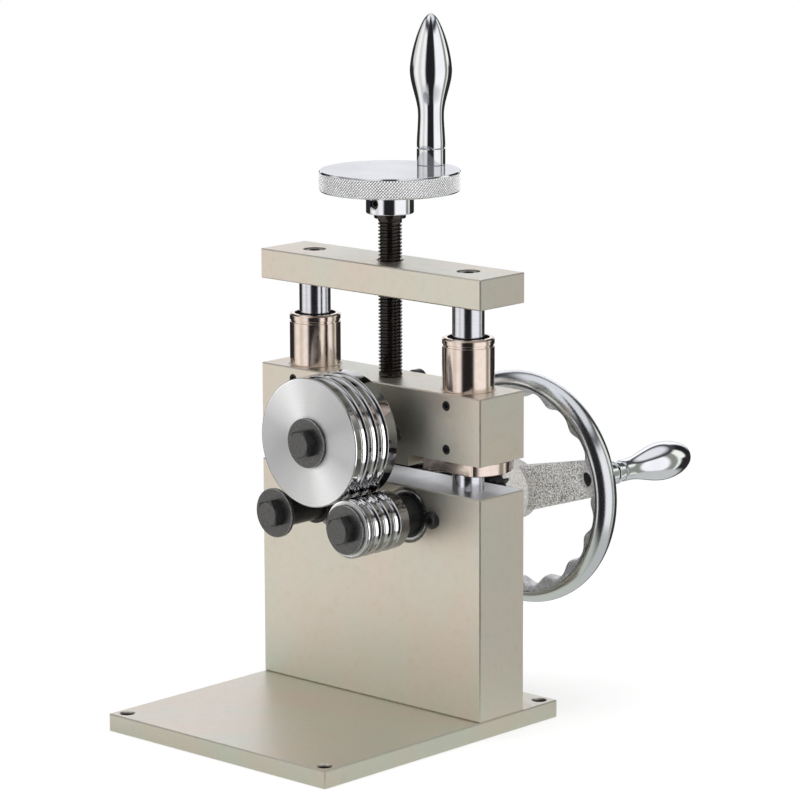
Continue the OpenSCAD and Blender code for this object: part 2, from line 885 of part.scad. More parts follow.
// Length of the crank handle's spindle in the disc, as a share of its thickness
crank_thread_ratio = 0.8;
function crank_thread_l() = crank_thread_ratio * disc_t;

// Grub screw that holds the crank hub on the lead screw
module crank_grub_screw() {
    grub_l = (crank_hub_d - journal_d) / 2 - 2 * edge_break;
    color(black_oxide)
        translate([0, block_mid - journal_d / 2 - fit_gap, hub_bottom + crank_hub_h / 2])
            rotate([90, 0, 0])
                grub_screw(grub_l);
}

// Spindle from height 0 up: thread below, collar of the given outline, pin inside the handle
module handle_spindle(thread_l, collar_d, collar_l, pin_l) {
    collar_c = 0.6;
    turned([
        [0, -thread_l], [spindle_thread_d / 2, -thread_l], [spindle_thread_d / 2, 0],
        [collar_d / 2, 0], [collar_d / 2, collar_l - collar_c], [collar_d / 2 - collar_c, collar_l],
        [spindle_d / 2, collar_l], [spindle_d / 2, collar_l + pin_l], [0, collar_l + pin_l]
    ]);
}

// Smooth step from 0 to 1
function ease(t) = t * t * (3 - 2 * t);

// Radius of a turned handle at the height h: foot, waist, belly and a full round tip
function handle_r(h, l, foot, waist, belly, waist_h, belly_h, fullness) =
    h < waist_h ? foot + (waist - foot) * ease(h / waist_h) :
    h < belly_h ? waist + (belly - waist) * ease((h - waist_h) / (belly_h - waist_h)) :
    belly * pow(max(0, 1 - pow((h - belly_h) / (l - belly_h), fullness)), 1 / fullness);

// Turned handle along +Z with a blind hole for its spindle; the steps crowd together at its round tip
module turned_handle(l, foot_d, waist_d, belly_d, waist_h, belly_h, fullness) {
    steps = 36;
    crowding = 1.4;
    tip_share = 0.985;
    pin_l = handle_pin_ratio * l;
    bore_r = spindle_d / 2 + run_gap;
    outline = [
        for (i = [0:steps])
            let (h = l * (1 - pow(1 - i / steps, crowding)) * tip_share)
            [handle_r(h, l, foot_d / 2, waist_d / 2, belly_d / 2, waist_h, belly_h, fullness), h]
    ];
    turned(concat(
        [[bore_r, 0]], outline,
        [[0, l * tip_share], [0, pin_l + end_play], [bore_r, pin_l + end_play]]
    ));
}

// Length of a spindle's pin inside its handle, as a share of the handle's length
handle_pin_ratio = 0.75;

// Place of the crank handle's ferrule on the disc
module on_crank() {
    translate([0, block_mid, disc_top])
        rotate([0, 0, -crank_turn])
            translate([0, crank_handle_r, 0])
                children();
}

module crank_handle_spindle() {
    color(chrome)
        on_crank()
            handle_spindle(crank_thread_l(), ferrule_d, ferrule_h, handle_pin_ratio * crank_handle_l);
}

module crank_handle() {
    waist_h = 0.24 * crank_handle_l;
    belly_h = 0.57 * crank_handle_l;
    fullness = 1.5;
    color(chrome)
        on_crank()
            translate([0, 0, ferrule_h + end_play])
                turned_handle(
                    crank_handle_l, crank_handle_foot_d, crank_handle_waist_d, crank_handle_d,
                    waist_h, belly_h, fullness
                );
}

// Shaft with a roller seat, a collar and a bearing length that ends at y_end
module roller_shaft(x, z, y_end) {
    collar_end = block_front - end_play;
    seat_c = 0.8;
    tap_depth = bolt_l;
    along_y(x, 0, z)
        difference() {
            turned([
                [0, seat_front], [seat_d / 2 - seat_c, seat_front], [seat_d / 2, seat_front + seat_c],
                [seat_d / 2, roller_back], [collar_d / 2, roller_back], [collar_d / 2, collar_end],
                [shaft_shoulder_r(), collar_end], [shaft_shoulder_r(), block_front],
                [shaft_d / 2, block_front], [shaft_d / 2, y_end], [0, y_end]
            ]);
            translate([0, 0, seat_front - cut])
                cylinder(d = bolt_d + 2 * fit_gap, h = tap_depth + cut);
        }
}

// Radius of the shoulder that bears on an inner ring
function shaft_shoulder_r() = (shaft_d + inner_ring_d) / 4;

// Upper shaft, ended by the groove of its clip
module upper_shaft() {
    groove_d = clip_bore(shaft_d);
    groove_y = block_back + end_play / 3;
    color(black_oxide)
        difference() {
            roller_shaft(0, upper_axis_z, block_back + 3 * clip_t(shaft_d));
            along_y(0, groove_y, upper_axis_z)
                difference() {
                    cylinder(d = shaft_d + cut, h = clip_t(shaft_d));
                    cylinder(d = groove_d, h = clip_t(shaft_d));
                }
        }
}

module upper_shaft_clip() {
    color(bearing_steel)
        along_y(0, block_back + end_play / 3, upper_axis_z)
            ring_clip(clip_d(shaft_d), clip_bore(shaft_d) + 2 * fit_gap, clip_t(shaft_d));
}

module upper_inner_rings() {
    color(bearing_steel)
        inner_rings(0, upper_axis_z);
}

// Grooved roller of diameter d, with a thin turned line behind its front lip if lined
module grooved_roller(x, z, d, lined) {
    lip = 2.4;
    line_w = 0.8;
    line_depth = 0.7;
    lip_c = 1;
    bore_r = seat_d / 2 + fit_gap;
    groove_centre = d / 2 + groove_r - groove_depth;
    along_y(x, roller_front, z)
        difference() {
            chamfered_ring(d, 2 * bore_r, roller_w, lip_c);
            for (i = [0:groove_count - 1])
                translate([0, 0, groove_first + i * groove_pitch])
                    rotate_extrude()
                        translate([groove_centre, 0])
                            circle(groove_r);
            if (lined)
                translate([0, 0, lip])
                    turned([
                        [d / 2 - line_depth, line_w / 3], [d / 2 + cut, 0],
                        [d / 2 + cut, line_w], [d / 2 - line_depth, line_w * 2 / 3]
                    ]);
        }
}

module upper_roller() {
    color(chrome)
        grooved_roller(0, upper_axis_z, upper_roller_d, false);
}

module drive_roller() {
    color(chrome)
        grooved_roller(roller_axis_x, lower_axis_z, lower_roller_d, true);
}

// Washer in front of a roller or a bare seat, its back face at y
module roller_washer(x, y, z) {
    color(black_oxide)
        translate([x, y, z])
            rotate([90, 0, 0])
                flat_washer(washer_d, bolt_d + 2 * pass_gap, washer_t);
}

// Hexagon bolt in the end of a shaft, on a washer whose back face is at y
module roller_bolt(x, y, z) {
    color(black_oxide)
        translate([x, y - washer_t, z])
            rotate([90, 0, 0])
                rotate([0, 0, bolt_turn])
                    hex_bolt(bolt_d, bolt_af, bolt_head_h, bolt_l);
}

// Turn of the bolt heads about their axes
bolt_turn = 18;

module upper_roller_washer() {
    roller_washer(0, roller_front, upper_axis_z);
}

module upper_roller_bolt() {
    roller_bolt(0, roller_front, upper_axis_z);
}

module drive_roller_washer() {
    roller_washer(roller_axis_x, roller_front, lower_axis_z);
}

module drive_roller_bolt() {
    roller_bolt(roller_axis_x, roller_front, lower_axis_z);
}

module driven_washer() {
    roller_washer(-roller_axis_x, seat_front, lower_axis_z);
}

module driven_bolt() {
    roller_bolt(-roller_axis_x, seat_front, lower_axis_z);
}

// Depth of the key in the shaft and its height above the shaft, as shares of its width
key_sink_ratio = 0.6;
function key_sink() = key_sink_ratio * key_w;
function key_rise() = key_w - key_sink();

// Key that turns the handwheel with its shaft, grown by gap on its sides and top
module key_form(gap, l) {
    translate([
        roller_axis_x - key_w / 2 - gap,
        wheel_front + (wheel_hub_l - l) / 2 - gap,
        lower_axis_z + shaft_d / 2 - key_sink() - gap
    ])
        cube([key_w + 2 * gap, l + 2 * gap, key_sink() + key_rise() + 2 * gap]);
}

// Drive shaft, with the keyway and the tapped end of the handwheel
module drive_shaft() {
    shaft_end = wheel_back - 2 * edge_break;
    tap_depth = tap_ratio * wheel_bolt_d;
    color(black_oxide)
        difference() {
            roller_shaft(roller_axis_x, lower_axis_z, shaft_end);
            key_form(fit_gap, key_l);
            along_y(roller_axis_x, shaft_end - tap_depth, lower_axis_z)
                cylinder(d = wheel_bolt_d + 2 * fit_gap, h = tap_depth + cut);
        }
}

module driven_shaft() {
    color(black_oxide)
        roller_shaft(-roller_axis_x, lower_axis_z, wheel_front);
}

module drive_inner_rings() {
    color(bearing_steel)
        inner_rings(roller_axis_x, lower_axis_z);
}

module driven_inner_rings() {
    color(bearing_steel)
        inner_rings(-roller_axis_x, lower_axis_z);
}

// Sleeve between a rear bearing's inner ring and a gear
module shaft_spacer(x) {
    spacer_d = 2 * shaft_shoulder_r() + edge_break;
    color(black_oxide)
        along_y(x, block_back, lower_axis_z)
            chamfered_ring(spacer_d, shaft_d + 2 * fit_gap, spacer_l, edge_break / 2);
}

module drive_spacer() {
    shaft_spacer(roller_axis_x);
}

module driven_spacer() {
    shaft_spacer(-roller_axis_x);
}

// Pressure angle of the teeth, and the shares of the module above and below the pitch circle
pressure_angle = 20;
tooth_rise = 0.95;
tooth_sink = 1.25;

// Involute of the roll t in degrees: its radius and its polar angle
function involute_r(base_r, t) = base_r * sqrt(1 + pow(t * PI / 180, 2));
function involute_a(t) = t - atan(t * PI / 180);
function roll_at(base_r, r) = sqrt(max(0, pow(r / base_r, 2) - 1)) * 180 / PI;

// Outline of a gear of n teeth with the middle of one tooth at the angle phase
module gear_outline(n, phase) {
    flank_steps = 3;
    pitch_r = gear_module * n / 2;
    base_r = pitch_r * cos(pressure_angle);
    root_r = pitch_r - tooth_sink * gear_module;
    tip_r = pitch_r + tooth_rise * gear_module;
    low_roll = roll_at(base_r, max(base_r, root_r));
    high_roll = roll_at(base_r, tip_r);
    play_angle = gear_backlash / 2 / pitch_r * 180 / PI;
    half_base = 90 / n - play_angle / 2 + involute_a(tan(pressure_angle) * 180 / PI);
    rolls = [for (k = [0:flank_steps]) low_roll + (high_roll - low_roll) * k / flank_steps];
    flank = concat(
        [[root_r, half_base - involute_a(low_roll)]],
        [for (t = rolls) [involute_r(base_r, t), half_base - involute_a(t)]]
    );
    last = len(flank) - 1;
    polygon([
        for (i = [0:n - 1], side = [-1, 1], k = [0:last])
            let (
                p = flank[side < 0 ? k : last - k],
                a = phase + i * 360 / n + side * p[1]
            )
            p[0] * [cos(a), sin(a)]
    ]);
}

// Directions between the gear axes, in the gears' own plane, and the phases that put them in mesh
to_idler = atan2(idler_drop, -roller_axis_x);
to_driven = atan2(-idler_drop, -roller_axis_x);
idler_pitch_angle = 360 / idler_teeth;
shaft_pitch_angle = 360 / gear_teeth;
drive_phase = to_idler;
idler_phase = to_idler + 180 + idler_pitch_angle / 2;
idler_steps = (to_driven - idler_phase) / idler_pitch_angle;
driven_phase = to_driven + 180 + shaft_pitch_angle * (idler_steps - floor(idler_steps) + 0.5);

// Gear on a lower shaft, with a plain hub behind it and the hole of its grub screw
module shaft_gear(x, phase) {
    bore_d = shaft_d + 2 * fit_gap;
    color(black_oxide)
        difference() {
            along_y(x, gear_front, lower_axis_z)
                difference() {
                    union() {
                        linear_extrude(gear_w)
                            gear_outline(gear_teeth, phase);
                        cylinder(d = gear_hub_d, h = gear_w + gear_hub_l);
                    }
                    translate([0, 0, -cut])
                        cylinder(d = bore_d, h = gear_w + gear_hub_l + 2 * cut);
                }
            translate([x, gear_back + gear_hub_l / 2, lower_axis_z])
                cylinder(d = grub_d + 2 * fit_gap, h = gear_hub_d);
        }
}

// Grub screw in a gear hub, pressing on the shaft from above
module gear_grub_screw(x) {
    color(black_oxide)
        translate([x, gear_back + gear_hub_l / 2, lower_axis_z + shaft_d / 2 + fit_gap])
            grub_screw((gear_hub_d - shaft_d) / 2 - edge_break);
}

module drive_gear() {
    shaft_gear(roller_axis_x, drive_phase);
}

module drive_gear_screw() {
    gear_grub_screw(roller_axis_x);
}

module driven_gear() {
    shaft_gear(-roller_axis_x, driven_phase);
}

module driven_gear_screw() {
    gear_grub_screw(-roller_axis_x);
}

module idler_gear() {
    color(black_oxide)
        along_y(0, gear_front, idler_z)
            difference() {
                linear_extrude(gear_w)
                    gear_outline(idler_teeth, idler_phase);
                translate([0, 0, -cut])
                    cylinder(d = idler_bush_d + 2 * fit_gap, h = gear_w + 2 * cut);
            }
}

module idler_bush() {
    color(bronze)
        along_y(0, gear_front, idler_z)
            chamfered_ring(idler_bush_d, stud_d + 2 * run_gap, gear_w, edge_break / 2);
}

// Outline of the rim's section, a flat bar with two full round edges
module rim_section() {
    r = rim_t / 2;
    mid_r = wheel_d / 2 - r;
    translate([mid_r - r, rim_set + r])
        square([rim_t, rim_w - rim_t]);
    for (h = [r, rim_w - r])
        translate([mid_r, rim_set + h])
            circle(r);
}

// Web inside the rim, cut into finger bumps by round scallops
module finger_web() {
    rim_in = wheel_d / 2 - rim_t;
    bump_r = rim_in - web_h - bump_h;
    valley_r = rim_in - web_h;
    web_low = rim_set + (rim_w - web_t) / 2;
    pitch = 360 / bump_count;
    half = pitch / 2;
    scallop_at = (valley_r * valley_r - bump_r * bump_r) / (2 * (valley_r - bump_r * cos(half)));
    scallop_r = valley_r - scallop_at;
    land = bump_h / 8;
    difference() {
        translate([0, 0, web_low])
            chamfered_web(rim_in + rim_t / 2, bump_r + land);
        for (i = [0:bump_count - 1])
            rotate([0, 0, bump_turn + i * pitch])
                translate([scallop_at, 0, web_low - cut])
                    cylinder(r = scallop_r, h = web_t + 2 * cut);
    }
}

// Ring of the finger web with softened inner edges
module chamfered_web(out_r, in_r) {
    c = web_t / 6;
    turned([
        [in_r + c, 0], [out_r, 0], [out_r, web_t], [in_r + c, web_t], [in_r, web_t - c], [in_r, c]
    ]);
}

// Flat tapering spoke, dished from the hub out to the rim
module spoke() {
    root_low = wheel_flare_l;
    tip_low = rim_set + (rim_w - spoke_t) / 2;
    out_r = wheel_d / 2 - rim_t / 2;
    in_r = shaft_d / 2 + fit_gap;
    hub_r = wheel_hub_d / 2;
    intersection() {
        linear_extrude(rim_set + rim_w)
            polygon([
                [0, -spoke_root_w / 2], [out_r, -spoke_tip_w / 2],
                [out_r, spoke_tip_w / 2], [0, spoke_root_w / 2]
            ]);
        translate([0, spoke_root_w / 2, 0])
            rotate([90, 0, 0])
                linear_extrude(spoke_root_w)
                    polygon([
                        [in_r, root_low], [hub_r, root_low], [out_r, tip_low],
                        [out_r, tip_low + spoke_t], [hub_r, root_low + spoke_t], [in_r, root_low + spoke_t]
                    ]);
    }
}

// Hub of the handwheel, flared behind its nose
module wheel_hub() {
    back_c = 1;
    turned([
        [0, 0], [wheel_nose_d / 2, 0], [wheel_hub_d / 2, wheel_flare_l],
        [wheel_hub_d / 2, wheel_hub_l - back_c], [wheel_hub_d / 2 - back_c, wheel_hub_l], [0, wheel_hub_l]
    ]);
}

// Back face of the wheel handle's boss, from the hub's front: just proud of the spoke
function handle_seat() =
    wheel_flare_l + spoke_t + boss_rise
    + (rim_set + (rim_w - spoke_t) / 2 - wheel_flare_l)
    * (wheel_handle_r + spindle_thread_d - wheel_hub_d / 2) / (wheel_d / 2 - rim_t / 2 - wheel_hub_d / 2);

// Height of the boss above the spoke's back
boss_rise = 1.2;

// Places a shape along the wheel handle's axis, from its boss on
module on_wheel() {
    along_y(roller_axis_x, wheel_front, lower_axis_z)
        rotate([0, 0, -spoke_angle])
            translate([wheel_handle_r, 0, handle_seat()])
                children();
}

// Two-spoke cast handwheel with a polished rim and finger bumps
module handwheel() {
    boss_wall = 2;
    boss_d = neck_d + 2 * boss_wall;
    color(cast_metal)
        difference() {
            union() {
                along_y(roller_axis_x, wheel_front, lower_axis_z)
                    rotate([0, 0, -spoke_angle]) {
                        rotate_extrude()
                            rim_section();
                        finger_web();
                        for (a = [0, 180])
                            rotate([0, 0, a])
                                spoke();
                        wheel_hub();
                    }
                on_wheel()
                    translate([0, 0, -spoke_t / 2])
                        cylinder(d = boss_d, h = spoke_t / 2);
            }
            along_y(roller_axis_x, wheel_front - cut, lower_axis_z)
                cylinder(d = shaft_d + 2 * fit_gap, h = wheel_hub_l + 2 * cut);
            key_form(fit_gap, key_l);
            on_wheel()
                translate([0, 0, -spoke_t - rim_w])
                    cylinder(d = spindle_thread_d + 2 * fit_gap, h = spoke_t + rim_w + cut);
        }
}

module wheel_key() {
    color(bearing_steel)
        key_form(0, key_l);
}

// Washer and bolt that hold the handwheel on the end of its shaft
module wheel_washer() {
    washer_ratio = 3.2;
    wheel_washer_d = washer_ratio * wheel_bolt_d;
    color(black_oxide)
        along_y(roller_axis_x, wheel_back, lower_axis_z)
            flat_washer(wheel_washer_d, wheel_bolt_d + 2 * pass_gap, washer_t);
}

module wheel_bolt() {
    head_af = wheel_bolt_d * 5 / 3;
    head_h = wheel_bolt_d * 2 / 3;
    color(black_oxide)
        along_y(roller_axis_x, wheel_back + washer_t, lower_axis_z)
            hex_bolt(wheel_bolt_d, head_af, head_h, tap_ratio * wheel_bolt_d);
}

module wheel_handle_spindle() {
    length_in_boss = 1;
    color(chrome)
        on_wheel()
            handle_spindle(
                spoke_t + length_in_boss, neck_d, neck_l, handle_pin_ratio * wheel_handle_l
            );
}

module wheel_handle() {
    waist_h = 0.1 * wheel_handle_l;
    belly_h = 0.62 * wheel_handle_l;
    fullness = 2;
    color(chrome)
        on_wheel()
            translate([0, 0, neck_l + end_play])
                turned_handle(
                    wheel_handle_l, wheel_handle_foot_d, wheel_handle_foot_d, wheel_handle_d,
                    waist_h, belly_h, fullness
                );
}

base_plate();
base_screws();
lower_block();
guide_pillar_left();
guide_pillar_right();
crossbar();
crossbar_screws();
drive_bearing_front();
drive_bearing_rear();
driven_bearing_front();
driven_bearing_rear();
lower_bearing_screws();
idler_stud();
idler_clip();
upper_block();
guide_bush_left();
guide_bush_right();
bush_grub_screws();
upper_bearing_front();
upper_bearing_rear();
upper_bearing_screws();
screw_keeper();
lead_screw();
crank_disc();
crank_grub_screw();
crank_handle_spindle();
crank_handle();
upper_shaft();
upper_roller();
upper_roller_washer();
upper_roller_bolt();
upper_shaft_clip();
upper_inner_rings();
drive_shaft();
drive_roller();
drive_roller_washer();
drive_roller_bolt();
drive_inner_rings();
drive_spacer();
drive_gear();
drive_gear_screw();
handwheel();
wheel_key();
wheel_washer();
wheel_bolt();
wheel_handle_spindle();
wheel_handle();
driven_shaft();
driven_washer();
driven_bolt();
driven_inner_rings();
driven_spacer();
driven_gear();
driven_gear_screw();
idler_gear();
idler_bush();
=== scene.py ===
import math

import bmesh
import bpy
import numpy as np
from mathutils import Matrix


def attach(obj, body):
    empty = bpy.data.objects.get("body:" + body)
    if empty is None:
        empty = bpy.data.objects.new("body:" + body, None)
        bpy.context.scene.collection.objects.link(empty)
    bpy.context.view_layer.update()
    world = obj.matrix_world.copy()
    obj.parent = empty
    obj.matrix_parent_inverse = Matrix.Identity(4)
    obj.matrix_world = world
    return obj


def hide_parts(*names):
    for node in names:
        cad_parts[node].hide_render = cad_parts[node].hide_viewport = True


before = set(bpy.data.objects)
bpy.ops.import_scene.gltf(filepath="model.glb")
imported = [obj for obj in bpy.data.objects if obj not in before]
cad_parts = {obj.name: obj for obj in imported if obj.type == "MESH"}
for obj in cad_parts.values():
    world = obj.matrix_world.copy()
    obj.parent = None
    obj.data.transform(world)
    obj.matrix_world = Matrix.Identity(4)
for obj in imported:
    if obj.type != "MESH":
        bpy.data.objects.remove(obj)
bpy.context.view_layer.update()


# Base plate, lower block, sliding head and crossbar
# Four pieces of steel plate, milled and ground square with broken edges, then nickel plated. Screws
# hold the block on the base plate and the crossbar on two pillars, and the head slides on these.
def linear(code):
    """Linear RGBA of an sRGB hex colour, by the sRGB curve; two more digits give its alpha."""
    c = np.array([int(code[i:i + 2], 16) for i in (1, 3, 5)]) / 255
    alpha = int(code[7:] or "ff", 16) / 255
    return (*np.where(c <= 0.04045, c / 12.92, ((c + 0.055) / 1.055) ** 2.4), alpha)


def add(tree, kind, sockets=(), stops=(), **settings):
    """One shader node. Settings are its properties, and stops the (place, hex colour) marks of a ramp.
    Sockets are its inputs, each a value, an output to link, or a node whose first output is linked."""
    made = tree.nodes.new("ShaderNode" + kind)
    for name, value in settings.items():
        setattr(made, name, value)
    for name, value in dict(sockets).items():
        if isinstance(value, bpy.types.Node):
            value = value.outputs[0]
        if isinstance(value, bpy.types.NodeSocket):
            tree.links.new(value, made.inputs[name])
        else:
            made.inputs[name].default_value = value
    if stops:
        marks = made.color_ramp.elements
        while len(marks) < len(stops):
            marks.new(0.5)
        for mark, (at, code) in zip(marks, stops):
            mark.position, mark.color = at, linear(code)
    return made


def shades(*codes):
    """Marks of a colour ramp, spread evenly from 0.3 to 0.7, where most of a noise lies."""
    return list(zip(np.linspace(0.3, 0.7, len(codes)), codes))


def new_finish(name):
    """A material without nodes, its tree, and the Object coordinates that its patterns read."""
    made = bpy.data.materials.new(name)
    made.use_nodes = True
    made.node_tree.nodes.clear()
    return made, made.node_tree, add(made.node_tree, "TexCoord").outputs["Object"]


def per_metre(size_mm):
    """Texture scale whose features are size_mm wide."""
    return 1000 / size_mm


def dress(finish, *nodes):
    """Gives CAD nodes whose shape is right their finish."""
    for n in nodes:
        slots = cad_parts[n].data.materials
        if len(slots):
            slots[0] = finish
        else:
            slots.append(finish)


# The corner holes, where painted shade darkens the plates: the hole centre, the radius where it is darkest
# and the radius where it ends, in metres.
CORNER_HOLE = (0.0685, 0.0785, 0)
HOLE_R = 0.0031
HOLE_SHADE_R = 0.0038
GROUND_ABOVE = 0.1223


def nickel_plate(name, bare_above=1.0):
    """Satin nickel: a warm grey sheen with the faint clouds of the bath, and painted shade on the walls of
    the corner holes.
    Above the given height, in metres, it is ground through to white steel in long strokes. The grain and
    the strokes are finer in reality, and are drawn coarse enough to show."""
    made, tree, place = new_finish(name)
    bath = add(tree, "TexNoise", {"Vector": place, "Scale": per_metre(45), "Detail": 2})
    cloud = add(tree, "TexNoise", {"Vector": place, "Scale": per_metre(5), "Detail": 6, "Roughness": 0.65})
    grain = add(tree, "TexNoise", {"Vector": place, "Scale": per_metre(0.5), "Detail": 3})
    stain = add(tree, "MapRange", {"Value": bath, "From Min": 0.36, "From Max": 0.64})
    warm = add(tree, "ValToRGB", {"Fac": cloud}, shades("#dbd0c1", "#e0d6ca", "#ddd2c4"))
    cool = add(tree, "ValToRGB", {"Fac": cloud}, shades("#d4d4c7", "#d9d9cd", "#d6d6c9"))
    plated = add(tree, "MixRGB", {"Fac": stain, "Color1": warm, "Color2": cool})
    cut = add(tree, "Mapping", {"Vector": place, "Scale": (per_metre(0.3), per_metre(30), 1)})
    strokes = add(tree, "TexNoise", {"Vector": cut, "Scale": 1.0, "Detail": 3})
    white = add(tree, "ValToRGB", {"Fac": strokes}, shades("#c9c9ca", "#e2e2e3"))
    height = add(tree, "SeparateXYZ", {"Vector": place}).outputs["Z"]
    bare = add(tree, "Math", {0: height, 1: bare_above}, operation="GREATER_THAN")
    colour = add(tree, "MixRGB", {"Fac": bare, "Color1": plated, "Color2": white})
    spread = add(tree, "VectorMath", {0: place}, operation="ABSOLUTE")
    apart = add(tree, "VectorMath", {0: spread, 1: CORNER_HOLE}, operation="SUBTRACT")
    flat = add(tree, "VectorMath", {0: apart, 1: (1, 1, 0)}, operation="MULTIPLY")
    off = add(tree, "VectorMath", {0: flat}, operation="LENGTH").outputs["Value"]
    # Painted shade: near the corner holes the colour turns towards #3a3734.
    painted_hole_shade = add(tree, "MapRange", {
        "Value": off, "From Min": HOLE_R, "From Max": HOLE_SHADE_R, "To Min": 0.9, "To Max": 0.0,
    })
    patch = add(tree, "MixRGB", {"Fac": 0.6, "Color1": grain, "Color2": cloud})
    sheen = add(tree, "BsdfPrincipled", {
        "Base Color": add(tree, "MixRGB", {"Fac": painted_hole_shade, "Color1": colour, "Color2": linear("#3a3734")}),
        "Metallic": 0.96,
        "Roughness": add(tree, "MapRange", {"Value": patch, "To Min": 0.25, "To Max": 0.53}),
        "Normal": add(tree, "Bump", {"Height": grain, "Strength": 0.1, "Distance": 0.0001}),
    })
    add(tree, "OutputMaterial", {"Surface": sheen})
    return made


dress(nickel_plate("satin_nickel_plate"), "base_plate", "upper_block", "crossbar")
dress(nickel_plate("ground_nickel_plate", GROUND_ABOVE), "lower_block")

# Screws that hold the frame together
# Countersunk screws under the base plate, cap screws in the crossbar, grub screws of the bushes
# and hubs, and the keeper of the lead screw: hardened steel, blackened in a hot oxide bath.

# Black oxide is a deep, slightly smutty black with a low gloss. Its pores are drawn coarse enough to show.
black_oxide, tree, place = new_finish("black_oxide_steel")
smut = add(tree, "TexNoise", {"Vector": place, "Scale": per_metre(1.6), "Detail": 4, "Roughness": 0.65})
pores = add(tree, "TexNoise", {"Vector": place, "Scale": per_metre(0.35), "Detail": 2})
oxide = add(tree, "BsdfPrincipled", {
    "Base Color": add(tree, "ValToRGB", {"Fac": smut}, shades("#252525", "#2e2e2e", "#3a3a3a")),
    "Metallic": 0.6, "Roughness": add(tree, "MapRange", {"Value": smut, "To Min": 0.24, "To Max": 0.4}),
    "Normal": add(tree, "Bump", {"Height": pores, "Strength": 0.15, "Distance": 0.0001}),
})
add(tree, "OutputMaterial", {"Surface": oxide})
dress(black_oxide, "base_screws", "crossbar_screws", "bush_grub_screws", "crank_grub_screw",
      "lower_bearing_screws", "upper_bearing_screws", "screw_keeper", "drive_gear_screw", "driven_gear_screw")

# Guide pillars
# Two ground bars of 16 mm, hard chromed, shrunk into the lower block and screwed to the crossbar. All
# sizes from here on are in mm, in the frame of the CAD model.
MM = 0.001
ARC_STEPS = 5
HOLD = 0.04


def softened(corners):
    """Section points from corners (radius, height, fillet): each corner with a fillet gives way to an arc
    that touches both its sides, turned from one touching direction to the other by spherical interpolation,
    with one more point HOLD beyond each end of the arc, so that the flats keep their own shading."""
    c = np.array([(*q, 0.0)[:3] for q in corners], float)
    p, fillet = c[1:-1, :2], np.maximum(c[1:-1, 2], 1e-4)[:, None]
    back, ahead = c[:-2, :2] - p, c[2:, :2] - p
    back /= np.linalg.norm(back, axis=1, keepdims=True)
    ahead /= np.linalg.norm(ahead, axis=1, keepdims=True)
    opening = np.arccos(np.clip((back * ahead).sum(1, keepdims=True), -1, 1))
    reach = fillet / np.tan(opening / 2)
    middle = back + ahead
    middle /= np.maximum(np.linalg.norm(middle, axis=1, keepdims=True), 1e-9)
    centre = p + middle * fillet / np.sin(opening / 2)
    first, last = p + back * reach - centre, p + ahead * reach - centre
    sweep = (np.pi - opening)[:, None]
    t = np.linspace(0, 1, ARC_STEPS + 1)[None, :, None]
    arc = (np.sin((1 - t) * sweep) * first[:, None] + np.sin(t * sweep) * last[:, None]) / np.sin(sweep)
    arc = np.concatenate([
        p[:, None] + back[:, None] * (reach + HOLD)[:, None], centre[:, None] + arc,
        p[:, None] + ahead[:, None] * (reach + HOLD)[:, None],
    ], axis=1)
    kept = (c[1:-1, 2:] > 0) | (np.arange(ARC_STEPS + 3) == (ARC_STEPS + 3) // 2)
    return np.concatenate([c[:1, :2], arc[kept], c[-1:, :2]])


def turned(section, centre, along, turns=128, dent=0.0):
    """Grid of a section (radius, height) turned about the axis that runs along "y" or "z" through centre;
    dent is taken off the radius, for each point of the section and each angle."""
    r, h = np.asarray(section, float).T[:, :, None]
    a = np.linspace(0, 2 * np.pi, turns, endpoint=False)[None, :]
    u, v, w = (r - dent) * np.cos(a), (r - dent) * np.sin(a), h + 0 * a
    if along == "y":
        return np.stack([centre[0] + u, w, centre[1] + v], axis=-1)
    return np.stack([centre[0] + u, centre[1] + v, w], axis=-1)


def grid_faces(rows, columns, form):
    """Quads of a grid: a tube closes round its columns, a ring round its rows too, a strip round neither."""
    i, j = np.meshgrid(np.arange(rows if form == "ring" else rows - 1),
                       np.arange(columns - 1 if form == "strip" else columns), indexing="ij")
    k, m = (i + 1) % rows, (j + 1) % columns
    quads = np.stack([i * columns + j, k * columns + j, k * columns + m, i * columns + m], axis=-1)
    return quads.reshape(-1, 4)


CREASE = math.radians(32)
MERGE = 2e-6


def placed(name, data):
    """A new object in the scene, made of a mesh, a lamp or a camera."""
    made = bpy.data.objects.new(name, data)
    bpy.context.scene.collection.objects.link(made)
    return made


def finished_piece(name, shells, finishes, body, slot, *replaced, bands=None):
    """One closed object from grids of points in mm. A shell is (grid, form); bands numbers the finish of
    each row of the first shell. Double points merge, faces turn outwards, edges over CREASE stay sharp."""
    points, faces, kinds, start = [], [], [], 0
    for k, (grid, form) in enumerate(shells):
        rows, columns = grid.shape[:2]
        quads = grid_faces(rows, columns, form)
        row_kind = np.zeros(len(quads), int) if bands is None or k else np.repeat(bands, columns)
        points.append(grid.reshape(-1, 3) * MM)
        faces.append(quads + start)
        kinds.append(row_kind)
        start += rows * columns
    mesh = bpy.data.meshes.new(name)
    mesh.from_pydata(np.concatenate(points).tolist(), [], np.concatenate(faces).tolist())
    mesh.polygons.foreach_set("material_index", np.concatenate(kinds).astype(np.int32))
    shape = bmesh.new()
    shape.from_mesh(mesh)
    bmesh.ops.remove_doubles(shape, verts=shape.verts, dist=MERGE)
    bmesh.ops.dissolve_degenerate(shape, edges=shape.edges, dist=1e-7)
    bmesh.ops.recalc_face_normals(shape, faces=shape.faces)
    shape.to_mesh(mesh)
    shape.free()
    for finish in finishes:
        mesh.materials.append(finish)
    mesh.shade_smooth()
    mesh.set_sharp_from_angle(angle=CREASE)
    made = placed(name, mesh)
    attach(made, body)
    if replaced:
        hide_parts(*replaced)
    return made


